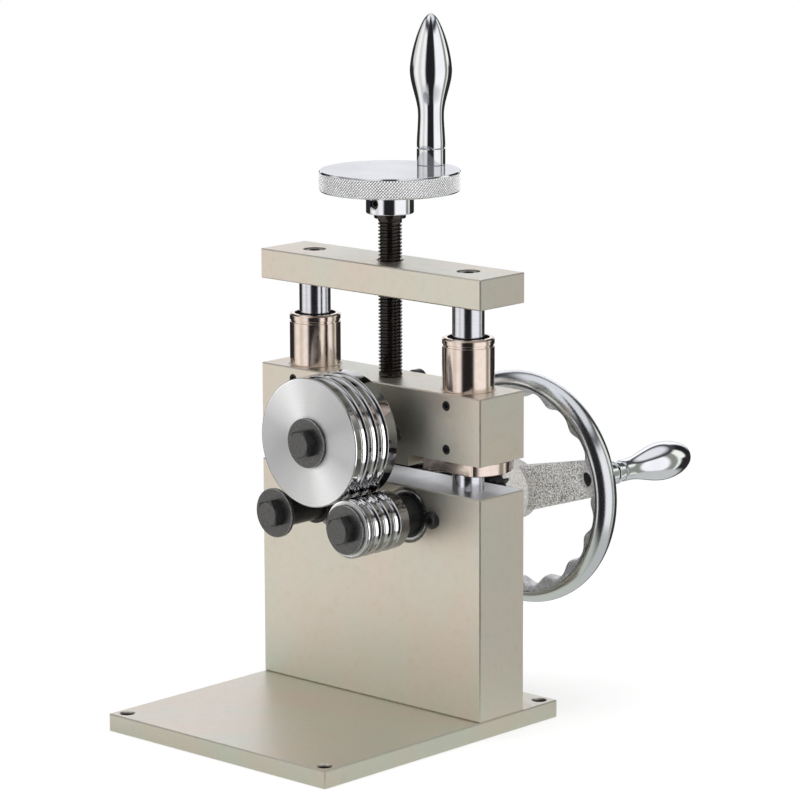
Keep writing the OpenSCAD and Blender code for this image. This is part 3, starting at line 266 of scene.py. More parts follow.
# Hard chrome mirrors in long, soft streaks. The lay of the grinding wheel runs round the bar and is finer
# in reality; it is drawn 0.4 mm wide so that it shows.
hard_chrome, tree, place = new_finish("ground_hard_chrome")
grind = add(tree, "Mapping", {"Vector": place, "Scale": (per_metre(20), per_metre(20), per_metre(0.4))})
lay = add(tree, "TexNoise", {"Vector": grind, "Scale": 1.0, "Detail": 2})
bar = add(tree, "BsdfPrincipled", {
    "Base Color": add(tree, "ValToRGB", {"Fac": lay}, shades("#d8d9e0", "#e4e5ec")),
    "Metallic": 1.0, "Roughness": add(tree, "MapRange", {"Value": lay, "To Min": 0.13, "To Max": 0.21}),
})
add(tree, "OutputMaterial", {"Surface": bar})

BLOCK_MID = 42.5
PILLAR_X = 52.5
SIDES = ("left", -PILLAR_X), ("right", PILLAR_X)
PILLAR_R = 8
PILLAR_LOW = 100.4
PILLAR_HIGH = 216.3
PILLAR_BEVEL = 0.8
SOFT = 0.3
pillar = softened([
    (0, PILLAR_LOW), (PILLAR_R - PILLAR_BEVEL, PILLAR_LOW, SOFT), (PILLAR_R, PILLAR_LOW + PILLAR_BEVEL, SOFT),
    (PILLAR_R, PILLAR_HIGH - PILLAR_BEVEL, SOFT), (PILLAR_R - PILLAR_BEVEL, PILLAR_HIGH, SOFT),
    (0, PILLAR_HIGH),
])
for side, x in SIDES:
    finished_piece("chromed_pillar_" + side, [(turned(pillar, (x, BLOCK_MID), "z"), "tube")], [hard_chrome],
                   "frame", "chrome", "guide_pillar_" + side)

# Ball bearings and the screws beside them
# Each shaft runs in two sealed bearings pressed into chamfered pockets: a ground steel ring with a
# black rubber seal set back inside it.
def mottled(name, size_mm, detail, codes, rough, **sockets):
    """A finish from one noise with features size_mm wide, which sets both its shade and its roughness."""
    made, tree, place = new_finish(name)
    noise = add(tree, "TexNoise", {"Vector": place, "Scale": per_metre(size_mm), "Detail": detail})
    surface = add(tree, "BsdfPrincipled", {
        "Base Color": add(tree, "ValToRGB", {"Fac": noise}, shades(*codes)),
        "Roughness": add(tree, "MapRange", {"Value": noise, "To Min": rough[0], "To Max": rough[1]}),
        **sockets,
    })
    add(tree, "OutputMaterial", {"Surface": surface})
    return made


# Ground bearing steel is a cool, even grey with a soft shine.
steel = mottled("ground_bearing_steel", size_mm=0.9, detail=3, codes=("#a2a3a6", "#b4b5b7"),
                rough=(0.2, 0.34), Metallic=1.0)

# Nitrile rubber is nearly black and dull, with a grey bloom.
rubber = mottled("moulded_nitrile_rubber", size_mm=1.2, detail=3, codes=("#161617", "#202021"),
                 rough=(0.42, 0.6), IOR=1.5)

SHAFT_X = 26
LOWER_Z = 107.6
UPPER_Z = 147.4
BLOCK_FRONT = 26
BLOCK_BACK = 59
BEARING_W = 8
BEARING_R = 13
BEARING_BEVEL = 0.4
SEAL_IN = 7.06
SEAL_OUT = 11.6
SEAL_DEPTH = 0.5
# The rows of a ring's section that are rubber: the front seal, the rear seal and the wall between them.
SEAL_ROWS = (0, 8, 9)
for shaft, x, z, body in (("drive", SHAFT_X, LOWER_Z, "frame"), ("driven", -SHAFT_X, LOWER_Z, "frame"),
                          ("upper", 0, UPPER_Z, "head")):
    for end, y in (("front", BLOCK_FRONT), ("rear", BLOCK_BACK - BEARING_W)):
        half = [(SEAL_IN, y + SEAL_DEPTH), (SEAL_OUT, y + SEAL_DEPTH), (SEAL_OUT, y),
                (BEARING_R - BEARING_BEVEL, y), (BEARING_R, y + BEARING_BEVEL)]
        section = np.array(half + [(r, 2 * y + BEARING_W - h) for r, h in half[::-1]])
        finished_piece(f"{shaft}_bearing_{end}_ring", [(turned(section, (x, z), "y", 96), "ring")],
                       [steel, rubber], body, "bearing_seal", f"{shaft}_bearing_{end}",
                       bands=np.isin(np.arange(len(section)), SEAL_ROWS).astype(int))
dress(steel, "drive_inner_rings", "driven_inner_rings", "upper_inner_rings", "idler_clip", "upper_shaft_clip",
      "wheel_key")

# Idler stud, gears and spacers
# Spur gears cut from steel bar and blackened; the idler on its stud makes both lower shafts turn the
# same way. They sit behind the lower block, in the open.
dress(black_oxide, "idler_stud", "drive_gear", "driven_gear", "idler_gear", "drive_spacer", "driven_spacer")

# Guide bushes
# Flanged bushes of sintered bronze, turned and burnished, pressed into the head from below and locked
# by grub screws. The dark ring in the recess at the top is taken for a rubber wiper.

# Turned bronze shines with a pink cast. The rings that the lathe leaves are drawn coarse enough to show.
bronze, tree, place = new_finish("turned_bronze")
streak = per_metre(16.6667)
lathe = add(tree, "Mapping", {"Vector": place, "Scale": (streak, streak, per_metre(0.35))})
rings = add(tree, "TexNoise", {"Vector": lathe, "Scale": 1.0, "Detail": 3})
tarnish = add(tree, "TexNoise", {"Vector": place, "Scale": per_metre(9), "Detail": 4})
bush = add(tree, "BsdfPrincipled", {
    "Base Color": add(tree, "ValToRGB", {"Fac": tarnish}, shades("#dfcfc4", "#eddcd1", "#e6d5ca")),
    "Metallic": 1.0, "Roughness": add(tree, "MapRange", {"Value": rings, "To Min": 0.1, "To Max": 0.2}),
    "Normal": add(tree, "Bump", {"Height": rings, "Strength": 0.1, "Distance": 0.0001}),
})
add(tree, "OutputMaterial", {"Surface": bush})

HEAD_BOTTOM = 132.6
BUSH_TOP = HEAD_BOTTOM + 66.4
BUSH_R = 13
BUSH_BORE = 8.06
BUSH_BEVEL = 0.9
LINE_R = 12.5
LINE_LOW = BUSH_TOP - 4.4
LINE_HIGH = BUSH_TOP - 3.2
LINE_SOFT = 0.15
WIPER_R = 10.5
WIPER_LOW = BUSH_TOP - 1.6
FLANGE_R = 22.5
FLANGE_HALF = 15.5
FLANGE_IN = 12
FLANGE_T = 6
FLANGE_BEVEL = 0.4
for side, x in SIDES:
    wall = softened([
        (BUSH_BORE, WIPER_LOW), (BUSH_BORE, HEAD_BOTTOM, 0.2), (BUSH_R, HEAD_BOTTOM, 0.2),
        (BUSH_R, LINE_LOW, LINE_SOFT), (LINE_R, LINE_LOW, LINE_SOFT), (LINE_R, LINE_HIGH, LINE_SOFT),
        (BUSH_R, LINE_HIGH, LINE_SOFT), (BUSH_R, BUSH_TOP - BUSH_BEVEL, 0.6),
        (BUSH_R - BUSH_BEVEL, BUSH_TOP, 0.6), (WIPER_R, BUSH_TOP, 0.2), (WIPER_R, WIPER_LOW, 0.2),
        (BUSH_BORE, WIPER_LOW),
    ])
    sleeve = turned(wall, (x, BLOCK_MID), "z")
    a = np.linspace(0, 2 * np.pi, 144, endpoint=False)
    outline = np.minimum(FLANGE_R, FLANGE_HALF / np.maximum(np.abs(np.sin(a)), 1e-6))
    inside, bevelled = 0 * a + FLANGE_IN, outline - FLANGE_BEVEL
    r = np.stack([inside, bevelled, outline, outline, bevelled, inside])
    level = np.array([0, 0, FLANGE_BEVEL, FLANGE_T - FLANGE_BEVEL, FLANGE_T, FLANGE_T]) + HEAD_BOTTOM
    flange = np.stack([x + r * np.cos(a), BLOCK_MID + r * np.sin(a), level[:, None] + 0 * r], axis=-1)
    wiper = (wall[:, 0] < WIPER_R + 0.1) & (wall[:, 1] > WIPER_LOW - 0.05)
    finished_piece("bronze_bush_" + side, [(sleeve, "tube"), (flange, "ring")], [bronze, rubber], "head",
                   "bronze", "guide_bush_" + side, bands=(wiper[:-1] & wiper[1:]).astype(int))
dress(bronze, "idler_bush")

# Lead screw
# Blackened steel screw, M12 with a 1.75 mm pitch: a plain foot held in the head, the rolled thread
# through the crossbar, and a shoulder that carries the crank hub.
HEAD_TOP = 172.5
SHOULDER_BOTTOM = 253
HUB_BOTTOM = 255.5
PITCH = 1.75
THREAD_DEPTH = 1.0
THREAD_R = 6


def threaded(low, high, turns=64):
    """Strip of a screw thread about z: the section of one pitch (crest, flank, root, flank) repeats, and each
    row climbs one pitch per turn, h = row height + pitch * angle / 2 pi, so that its end meets the row one
    pitch on. Beyond low and high the rows are held at the ends, and the depth fades out over a pitch."""
    share, depth = np.array([0, 0.12, 0.42, 0.58, 0.88]), np.array([0, 0, 1, 1, 0])
    count = int((high - low) / PITCH) + 4
    h = (np.arange(-2, count)[:, None] + share).reshape(-1, 1) * PITCH
    a = np.linspace(0, 2 * np.pi, turns + 1)[None, :]
    z = np.clip(low + h + PITCH * a / (2 * np.pi), low, high)
    fade = np.clip(np.minimum(z - low, high - z) / PITCH, 0, 1)
    r = THREAD_R - THREAD_DEPTH * fade * np.tile(depth, count + 2)[:, None]
    return np.stack([r * np.cos(a), BLOCK_MID + r * np.sin(a), z], axis=-1)


# Oiled black steel is a warm black with a wet gloss on the crests of the thread.
oiled = mottled("oiled_black_steel", size_mm=2.5, detail=3, codes=("#3b3735", "#4e4946"),
                rough=(0.14, 0.26), Metallic=0.9)

THREAD_LOW = HEAD_TOP + 1.2
THREAD_HIGH = SHOULDER_BOTTOM - 1.2
FOOT_R = 5
FOOT_LOW = 160.5
NECK_R = 3.2
NECK_LOW = 164.5
NECK_HIGH = 171.1
SHOULDER_R = 8
SPIGOT_R = 5
SPIGOT_TOP = 272
foot = softened([
    (0, FOOT_LOW), (FOOT_R, FOOT_LOW, SOFT), (FOOT_R, NECK_LOW), (NECK_R, NECK_LOW), (NECK_R, NECK_HIGH),
    (FOOT_R, NECK_HIGH), (FOOT_R, HEAD_TOP + 0.1), (THREAD_R - 0.6, HEAD_TOP + 0.1),
    (THREAD_R, HEAD_TOP + 0.7), (THREAD_R, THREAD_LOW),
])
shoulder = softened([
    (THREAD_R, THREAD_HIGH), (THREAD_R, SHOULDER_BOTTOM), (SHOULDER_R, SHOULDER_BOTTOM, SOFT),
    (SHOULDER_R, HUB_BOTTOM, 0.2), (SPIGOT_R, HUB_BOTTOM), (SPIGOT_R, SPIGOT_TOP, 0.2), (0, SPIGOT_TOP),
])
screw_axis = (0, BLOCK_MID)
finished_piece("threaded_lead_screw", [
    (turned(foot, screw_axis, "z", 64), "tube"), (threaded(THREAD_LOW, THREAD_HIGH), "strip"),
    (turned(shoulder, screw_axis, "z", 64), "tube"),
], [oiled], "screw", "black_oxide", "lead_screw")

# Crank disc
# Turned from one piece with its hub, knurled round the rim in a diamond pattern and chromed. A grub
# screw in the hub's countersunk cross hole holds it on the lead screw.
DISC_BOTTOM = 266.8
DISC_TOP = 277.2
DISC_R = 35.6
DISC_BEVEL = 0.8
RIM_LOSS = 0.3
HUB_R = 12
HUB_BORE = 5.03
HUB_BORE_TOP = 272.03
KNURLS = 144
KNURL_H = 1.6
KNURL_DEPTH = 0.5
KNURL_STEPS = 4

# Polished chrome is nearly a mirror, faintly wavy from polishing by hand.
chrome, tree, place = new_finish("polished_chrome")
handled = add(tree, "TexNoise", {"Vector": place, "Scale": per_metre(11), "Detail": 4})
wavy = add(tree, "TexNoise", {"Vector": place, "Scale": per_metre(6), "Detail": 1})
mirror = add(tree, "BsdfPrincipled", {
    "Base Color": add(tree, "ValToRGB", {"Fac": handled}, shades("#e6e8ec", "#f2f3f6")),
    "Metallic": 1.0, "Roughness": add(tree, "MapRange", {"Value": handled, "To Min": 0.04, "To Max": 0.11}),
    "Normal": add(tree, "Bump", {"Height": wavy, "Strength": 0.04, "Distance": 0.0004}),
})
add(tree, "OutputMaterial", {"Surface": mirror})

# Satin chrome, on the disc's top, is a bluish grey that still mirrors the handle, a little wiped.
satin = mottled("satin_chrome", size_mm=22, detail=2, codes=("#9b9da3", "#b1b3b9"),
                rough=(0.05, 0.09), Metallic=0.6)


def axis_distance(tree, place, shift, across):
    """Distance from an axis: the place moved by shift, flattened along the axis, and its length."""
    centred = add(tree, "Mapping", {"Vector": place, "Location": shift})
    flat = add(tree, "VectorMath", {0: centred, 1: across}, operation="MULTIPLY")
    return add(tree, "VectorMath", {0: flat}, operation="LENGTH").outputs["Value"]


# Knurled chrome is darkened in its cuts by painted shade and dirt, and is worn bright on its points. It looks
# finer in the photograph; its pitch is drawn at 1.6 mm so that it shows.
knurl, tree, place = new_finish("knurled_chrome")
# Painted shade and dirt: the colour darkens towards the bottom of the cuts, and the points stay bright.
cut_shade_and_wear = add(tree, "MapRange", {
    "Value": axis_distance(tree, place, (0, -BLOCK_MID * MM, 0), (1, 1, 0)),
    "From Min": (DISC_R - KNURL_DEPTH) * MM, "From Max": (DISC_R - 0.1) * MM,
})
bitten = add(tree, "BsdfPrincipled", {
    "Base Color": add(tree, "ValToRGB", {"Fac": cut_shade_and_wear}, shades("#4f4e52", "#f2f2f4", "#ffffff")),
    "Metallic": add(tree, "MapRange", {"Value": cut_shade_and_wear, "To Min": 0.15, "To Max": 0.45}), "Roughness": 0.3,
})
add(tree, "OutputMaterial", {"Surface": bitten})

under = softened([
    (0, HUB_BORE_TOP), (HUB_BORE, HUB_BORE_TOP), (HUB_BORE, HUB_BOTTOM, 0.2), (HUB_R, HUB_BOTTOM, 0.6),
    (HUB_R, DISC_BOTTOM, 0.4), (DISC_R - DISC_BEVEL, DISC_BOTTOM, SOFT),
    (DISC_R - RIM_LOSS, DISC_BOTTOM + DISC_BEVEL),
])
over = softened([
    (DISC_R - RIM_LOSS, DISC_TOP - DISC_BEVEL), (DISC_R - DISC_BEVEL, DISC_TOP, SOFT), (0, DISC_TOP),
])
knurl_z = np.arange(DISC_BOTTOM + DISC_BEVEL + 0.1, DISC_TOP - DISC_BEVEL, KNURL_H / KNURL_STEPS)
band = np.stack([0 * knurl_z + DISC_R, knurl_z], axis=-1)
section = np.concatenate([under, band, over])
steps = KNURL_STEPS * KNURLS
across, climb = np.arange(steps)[None, :] / KNURL_STEPS, (section[:, 1:] - knurl_z[0]) / KNURL_H
cut = np.maximum(np.abs(2 * ((across + climb) % 1) - 1), np.abs(2 * ((across - climb) % 1) - 1))
row = np.arange(len(section))
knurled = (row >= len(under)) & (row < len(under) + len(band))
dent = np.where(knurled[:, None], KNURL_DEPTH * cut, 0)
level = section[:, 1] > DISC_TOP - 0.01
disc = finished_piece("knurled_crank_disc", [(turned(section, screw_axis, "z", steps, dent), "tube")],
                      [chrome, knurl, satin], "screw", "chrome", "crank_disc",
                      bands=np.where(level[:-1] & level[1:], 2, knurled[:-1] & knurled[1:]))


def bored(piece, cutter):
    """Cuts a closed tube of points, in mm, out of a piece for good."""
    rows, columns = cutter.shape[:2]
    mesh = bpy.data.meshes.new("cutter")
    mesh.from_pydata((cutter.reshape(-1, 3) * MM).tolist(), [], grid_faces(rows, columns, "tube").tolist())
    shape = bmesh.new()
    shape.from_mesh(mesh)
    bmesh.ops.remove_doubles(shape, verts=shape.verts, dist=MERGE)
    bmesh.ops.recalc_face_normals(shape, faces=shape.faces)
    shape.to_mesh(mesh)
    shape.free()
    tool = placed("cutter", mesh)
    drill = piece.modifiers.new("drill", "BOOLEAN")
    drill.object, drill.operation, drill.solver = tool, "DIFFERENCE", "EXACT"
    left = bpy.data.meshes.new_from_object(piece.evaluated_get(bpy.context.evaluated_depsgraph_get()))
    piece.modifiers.remove(drill)
    bpy.data.objects.remove(tool)
    bpy.data.meshes.remove(mesh)
    piece.data = left
    left.shade_smooth()
    left.set_sharp_from_angle(angle=CREASE)


GRUB_R = 2.53
hub_front = BLOCK_MID - HUB_R
grub_end = BLOCK_MID - 3
cross_hole = [(0, hub_front - 2), (4.2, hub_front - 2), (3.3, hub_front - 0.1), (GRUB_R, hub_front + 0.7),
              (GRUB_R, grub_end), (0, grub_end)]
bored(disc, turned(cross_hole, (0, (HUB_BOTTOM + DISC_BOTTOM) / 2), "y", 48))

# Crank handle
# A turned steel handle that spins on the pin of a shouldered spindle, which is pressed into the disc.
# Both are polished and chromed.
FERRULE_R = 7.2
FERRULE_H = 8.4
TANG_R = 4
TANG_L = 8.3
PIN_R = 3.5
PIN_BORE = 3.56
PIN_L = 51.3
FREE = 0.3
CRANK_R = 27.5
CRANK_TURN = math.radians(6)


def handle_section(base, length, foot, waist, belly, waist_h, belly_h, fullness, pin):
    """Section of a turned handle: a smooth step t*t*(3-2t) from foot to waist and from waist to belly, then a
    superellipse of the given fullness, its tip rounded off, with a blind bore for the spindle's pin."""
    t = np.linspace(0, 1, 160)
    end, tip_start = 0.985 * length, 0.93 * length
    h = end * (1 - (1 - t) ** 1.7)
    def step(s):
        s = np.clip(s, 0, 1)
        return s * s * (3 - 2 * s)
    low = foot + (waist - foot) * step(h / waist_h)
    low = low + (belly - waist) * step((h - waist_h) / (belly_h - waist_h))
    tip = np.maximum(1 - np.clip((h - belly_h) / (length - belly_h), 0, 1) ** fullness, 0) ** (1 / fullness)
    tip *= np.maximum(1 - np.clip((h - tip_start) / (end - tip_start), 0, 1) ** 3, 0) ** (1 / 3)
    outside = np.stack([np.where(h < belly_h, low, belly * tip), base + h], axis=-1)
    bore = [(0, base + pin), (PIN_BORE, base + pin), (PIN_BORE, base), (foot - 0.5, base),
            (foot - 0.12, base + 0.12)]
    return np.concatenate([np.array(bore), outside[2:]])


crank_axis = (CRANK_R * math.sin(CRANK_TURN), BLOCK_MID + CRANK_R * math.cos(CRANK_TURN))
ferrule_top = DISC_TOP + FERRULE_H
spindle = softened([
    (0, DISC_TOP - TANG_L), (TANG_R, DISC_TOP - TANG_L), (TANG_R, DISC_TOP), (FERRULE_R, DISC_TOP, SOFT),
    (FERRULE_R, ferrule_top, 0.5), (PIN_R, ferrule_top), (PIN_R, ferrule_top + PIN_L, 0.4),
    (0, ferrule_top + PIN_L),
])
finished_piece("crank_spindle", [(turned(spindle, crank_axis, "z", 96), "tube")], [chrome], "screw", "chrome",
               "crank_handle_spindle")
grip = handle_section(base=ferrule_top + FREE, length=68.4, foot=FERRULE_R, waist=6.5, belly=10.6,
                      waist_h=16.4, belly_h=39.0, fullness=1.5, pin=PIN_L + FREE)
finished_piece("crank_grip", [(turned(grip, crank_axis, "z"), "tube")], [chrome], "crank_grip", "chrome",
               "crank_handle")

# Shafts
# Three shafts turned from steel bar and blackened: a seat for the roller, a collar, and a slimmer
# length that runs in the bearings. The left one is bare, its roller taken off.
ROLLER_BACK = 12.7
ROLLER_FRONT = -17.3
SEAT_FRONT = -13.5
SEAT_R = 8
COLLAR_R = 10
COLLAR_END = BLOCK_FRONT - 0.3
STEP_R = 6
JOURNAL_R = 5
for shaft, x, z, end, body in (("upper", 0, UPPER_Z, 62.6, "upper_spindle"),
                               ("drive", SHAFT_X, LOWER_Z, 108.8, "drive_spindle"),
                               ("driven", -SHAFT_X, LOWER_Z, 90, "driven_spindle")):
    bar = softened([
        (0, SEAT_FRONT), (SEAT_R, SEAT_FRONT, 0.7), (SEAT_R, ROLLER_BACK), (COLLAR_R, ROLLER_BACK, 0.5),
        (COLLAR_R, COLLAR_END, 0.4), (STEP_R, COLLAR_END), (STEP_R, BLOCK_FRONT), (JOURNAL_R, BLOCK_FRONT),
        (JOURNAL_R, end, 0.5), (0, end),
    ])
    finished_piece("blackened_shaft_" + shaft, [(turned(bar, (x, z), "y", 96), "tube")], [black_oxide], body,
                   "black_oxide", shaft + "_shaft")

# Grooved rollers
# Hardened steel rollers with three round grooves for wire, held on their shafts by a washer and bolt.
# The rims are polished; the end faces keep the fine rings of the facing cut.

# Polished roller steel mirrors darkly and brightly by turns, with faint rub marks.
polished = mottled("polished_roller_steel", size_mm=5, detail=4, codes=("#b2b2b4", "#c2c2c3"),
                   rough=(0.06, 0.14), Metallic=1.0)

# Faced steel spreads the light into a fan across its rings, which are drawn coarse enough to show.
faced, tree, place = new_finish("faced_roller_steel")
radius = axis_distance(tree, place, (0, 0, -UPPER_Z * MM), (1, 0, 1))
rings = add(tree, "TexNoise", {"W": radius, "Scale": per_metre(0.5), "Detail": 2}, noise_dimensions="1D")
face = add(tree, "BsdfPrincipled", {
    "Base Color": add(tree, "ValToRGB", {"Fac": rings}, shades("#e0e1e3", "#e7e8ea")),
    "Metallic": 1.0, "Roughness": add(tree, "MapRange", {"Value": rings, "To Min": 0.4, "To Max": 0.44}),
    "Anisotropic": 1.0, "Anisotropic Rotation": 0.25,
    "Tangent": add(tree, "Tangent", direction_type="RADIAL", axis="Y"),
})
add(tree, "OutputMaterial", {"Surface": face})

ROLLER_BORE = 8.03
UPPER_ROLLER_R = 32.5066
DRIVE_ROLLER_R = 14.7
GROOVES = (6.6, 13.7, 20.8)
GROOVE_R = 2.7
GROOVE_DEPTH = 1.8
LIP = 0.12
LINE_DEPTH = 0.7
LINE_EDGES = np.array([2.0, 2.3, 2.7, 3.0])


def roller_corners(outer, line):
    """Section of a roller from its bore over the front face and the rim to the back: each groove is an arc of
    GROOVE_R about a centre outside the rim, with softened lips; line is the depth of a turned line ahead."""
    half = math.acos((GROOVE_R - GROOVE_DEPTH) / GROOVE_R)
    a = np.linspace(-half, half, 13)
    rim = [(ROLLER_BORE, ROLLER_BACK), (ROLLER_BORE, ROLLER_FRONT, SOFT),
           (outer, ROLLER_FRONT, 0.7 + 0.6 * line)]
    if line:
        bottom = outer - line
        rim += list(zip((outer, bottom, bottom, outer), ROLLER_FRONT + LINE_EDGES, (LIP, 0, 0, LIP)))
    for at in GROOVES:
        r = outer + GROOVE_R - GROOVE_DEPTH - GROOVE_R * np.cos(a)
        rim += list(zip(r, ROLLER_FRONT + at + GROOVE_R * np.sin(a), np.where(np.abs(a) == half, LIP, 0)))
    return softened(rim + [(outer, ROLLER_BACK, 0.7), (ROLLER_BORE, ROLLER_BACK)])


for name, x, z, outer, line, body in (
        ("upper", 0, UPPER_Z, UPPER_ROLLER_R, 0, "upper_spindle"),
        ("drive", SHAFT_X, LOWER_Z, DRIVE_ROLLER_R, LINE_DEPTH, "drive_spindle")):
    section = roller_corners(outer, line)
    front = section[:, 1] < ROLLER_FRONT + 0.02
    is_face = (front & np.roll(front, -1))[:-1].astype(int)
    finished_piece("grooved_roller_" + name, [(turned(section, (x, z), "y", 192), "tube")], [polished, faced],
                   body, "hard_steel", name + "_roller", bands=is_face)

# Washers and hexagon bolts of the shafts
# M8 bolts with pressed, chamfered heads over thick turned washers. They are phosphated; the washers'
# front edges are rubbed bare.

# Phosphated steel is a dark, dry grey, evenly speckled.
phosphate, tree, place = new_finish("phosphated_steel")
speck = add(tree, "TexNoise", {"Vector": place, "Scale": per_metre(0.7), "Detail": 4, "Roughness": 0.7})
coat = add(tree, "BsdfPrincipled", {
    "Base Color": add(tree, "ValToRGB", {"Fac": speck}, shades("#4b4b4b", "#5d5d5d", "#707070")),
    "Metallic": 0.9, "Roughness": add(tree, "MapRange", {"Value": speck, "To Min": 0.26, "To Max": 0.38}),
    "Normal": add(tree, "Bump", {"Height": speck, "Strength": 0.15, "Distance": 0.0001}),
})
add(tree, "OutputMaterial", {"Surface": coat})

WASHER_R = 12.5
WASHER_BORE = 4.3
WASHER_T = 2
WASHER_SOFT = 0.45
BOLT_AF = 13
BOLT_H = 5.3
SHANK_R = 4
SHANK_L = 24


def hexagon_head(x, y, z, turn, across, height):
    """Tube of a hexagon head that stands off the plane y to the front: out from the axis over its face to the
    flat circle, down a 30 degree cone to r = across / 2 / cos(angle from the flat), then along the sides
    and back."""
    soft = 0.15
    a = np.radians(np.arange(0, 360, 2.5))
    hexagon = across / 2 / np.cos((a - math.radians(turn)) % (np.pi / 3) - np.pi / 6)
    flat = across * 0.47
    r = np.stack([0 * a, 0 * a + flat, hexagon - soft, hexagon, hexagon, hexagon - soft, 0 * a])
    cone = height - (hexagon - flat) * math.tan(math.radians(30))
    h = np.stack([0 * a + height, 0 * a + height, cone, cone - soft, 0 * a + soft, 0 * a, 0 * a])
    return np.stack([x + r * np.cos(a), y - h, z + r * np.sin(a)], axis=-1)


for name, x, z, y, turn, body, node in (
        ("upper", 0, UPPER_Z, ROLLER_FRONT, 12, "upper_spindle", "upper_roller"),
        ("drive", SHAFT_X, LOWER_Z, ROLLER_FRONT, 20, "drive_spindle", "drive_roller"),
        ("driven", -SHAFT_X, LOWER_Z, SEAT_FRONT, 16, "driven_spindle", "driven")):
    seat = y - WASHER_T
    ring = softened([
        (WASHER_BORE, y), (WASHER_R, y, 0.35), (WASHER_R, seat, WASHER_SOFT), (WASHER_BORE, seat),
        (WASHER_BORE, y - 0.1),
    ])
    edge = (ring[:, 0] > WASHER_R - WASHER_SOFT) & (ring[:, 1] < seat + 0.4)
    finished_piece(name + "_shaft_washer", [(turned(ring, (x, z), "y", 96), "ring")], [phosphate, steel],
                   body, "black_oxide", node + "_washer", bands=(edge & np.roll(edge, -1)).astype(int))
    tip = seat + SHANK_L
    shank = softened([(0, tip), (SHANK_R, tip, 0.6), (SHANK_R, seat - 1), (0, seat - 1)])
    finished_piece(name + "_shaft_bolt", [
        (hexagon_head(x, seat, z, turn, BOLT_AF, BOLT_H), "tube"), (turned(shank, (x, z), "y", 48), "tube"),
    ], [phosphate], body, "black_oxide", node + "_bolt")
dress(phosphate, "wheel_washer", "wheel_bolt")

# Handwheel
# One casting, keyed and bolted to the drive shaft: hub, two dished spokes and a rim with a row of finger
# bumps inside it. The hub, spokes and bumps stay as cast; the rim is ground and polished.
WHEEL_FRONT = 90
RIM_MID = WHEEL_FRONT + 24.5
HUB_BACK = WHEEL_FRONT + 20
SPOKE_ANGLE = math.radians(13.4)
wheel_axis = (SHAFT_X, LOWER_Z)

# A part-polished casting is grainy grey where the sand left it and bright on the rim, with a ragged
# border. The grain is drawn coarse enough to show. Distances are in metres.
POLISH_IN, POLISH_OUT = 0.0525, 0.0555
RUBBED_IN, RUBBED_OUT = 0.047, 0.0505
DRESSED_IN, DRESSED_OUT = 0.015, 0.02
RAGGED = 0.0024
cast, tree, place = new_finish("part_polished_casting")
radius = axis_distance(tree, place, (-SHAFT_X * MM, 0, -LOWER_Z * MM), (1, 0, 1))
ragged = add(tree, "TexNoise", {"Vector": place, "Scale": per_metre(4), "Detail": 3})
edge = add(tree, "Math", {0: ragged, 1: RAGGED, 2: radius}, operation="MULTIPLY_ADD")
ground = add(tree, "MapRange", {"Value": edge, "From Min": POLISH_IN, "From Max": POLISH_OUT})
rubbed = add(tree, "MapRange", {"Value": edge, "From Min": RUBBED_IN, "From Max": RUBBED_OUT, "To Max": 0.55})
polish = add(tree, "Math", {0: ground, 1: rubbed}, operation="MAXIMUM")
sand = add(tree, "TexNoise", {"Vector": place, "Scale": per_metre(0.5), "Detail": 3, "Roughness": 0.6})
grit = add(tree, "MapRange", {"Value": sand, "From Min": 0.3, "From Max": 0.7})
pits = add(tree, "TexVoronoi", {"Vector": place, "Scale": per_metre(0.9)})
rough = add(tree, "Math", {0: sand, 1: pits}, operation="ADD")
depth = add(tree, "MapRange", {"Value": polish, "To Min": 0.55, "To Max": 0.03})
dressed = add(tree, "MapRange", {"Value": radius, "From Min": DRESSED_IN, "From Max": DRESSED_OUT})
grainy = add(tree, "MixRGB", {
    "Fac": dressed, "Color1": add(tree, "ValToRGB", {"Fac": grit}, shades("#aaa7a3", "#c9c6c2", "#dddbd8")),
    "Color2": add(tree, "ValToRGB", {"Fac": grit}, shades("#56524e", "#cfccc8", "#ffffff")),
})
iron = add(tree, "BsdfPrincipled", {
    "Base Color": add(tree, "MixRGB", {"Fac": polish, "Color1": grainy, "Color2": linear("#dfe1e4")}),
    "Metallic": add(tree, "MapRange", {"Value": polish, "To Min": 0.2, "To Max": 1.0}),
    "Roughness": add(tree, "MapRange", {"Value": polish, "To Min": 0.46, "To Max": 0.19}),
    "Normal": add(tree, "Bump", {"Height": rough, "Strength": depth, "Distance": 0.0004}),
})
add(tree, "OutputMaterial", {"Surface": iron})


def splined(control, steps):
    """Closed uniform cubic B-spline through arrays of control points on axis 0, with steps points a span."""
    t = (np.arange(steps) / steps).reshape((1, -1) + (1,) * (control.ndim - 1))
    p = [np.roll(control, -k, axis=0)[:, None] for k in (-1, 0, 1, 2)]
    curve = ((1 - t) ** 3 * p[0] + (3 * t ** 3 - 6 * t ** 2 + 4) * p[1]
             + (-3 * t ** 3 + 3 * t ** 2 + 3 * t + 1) * p[2] + t ** 3 * p[3]) / 6
    return curve.reshape((-1,) + control.shape[1:])


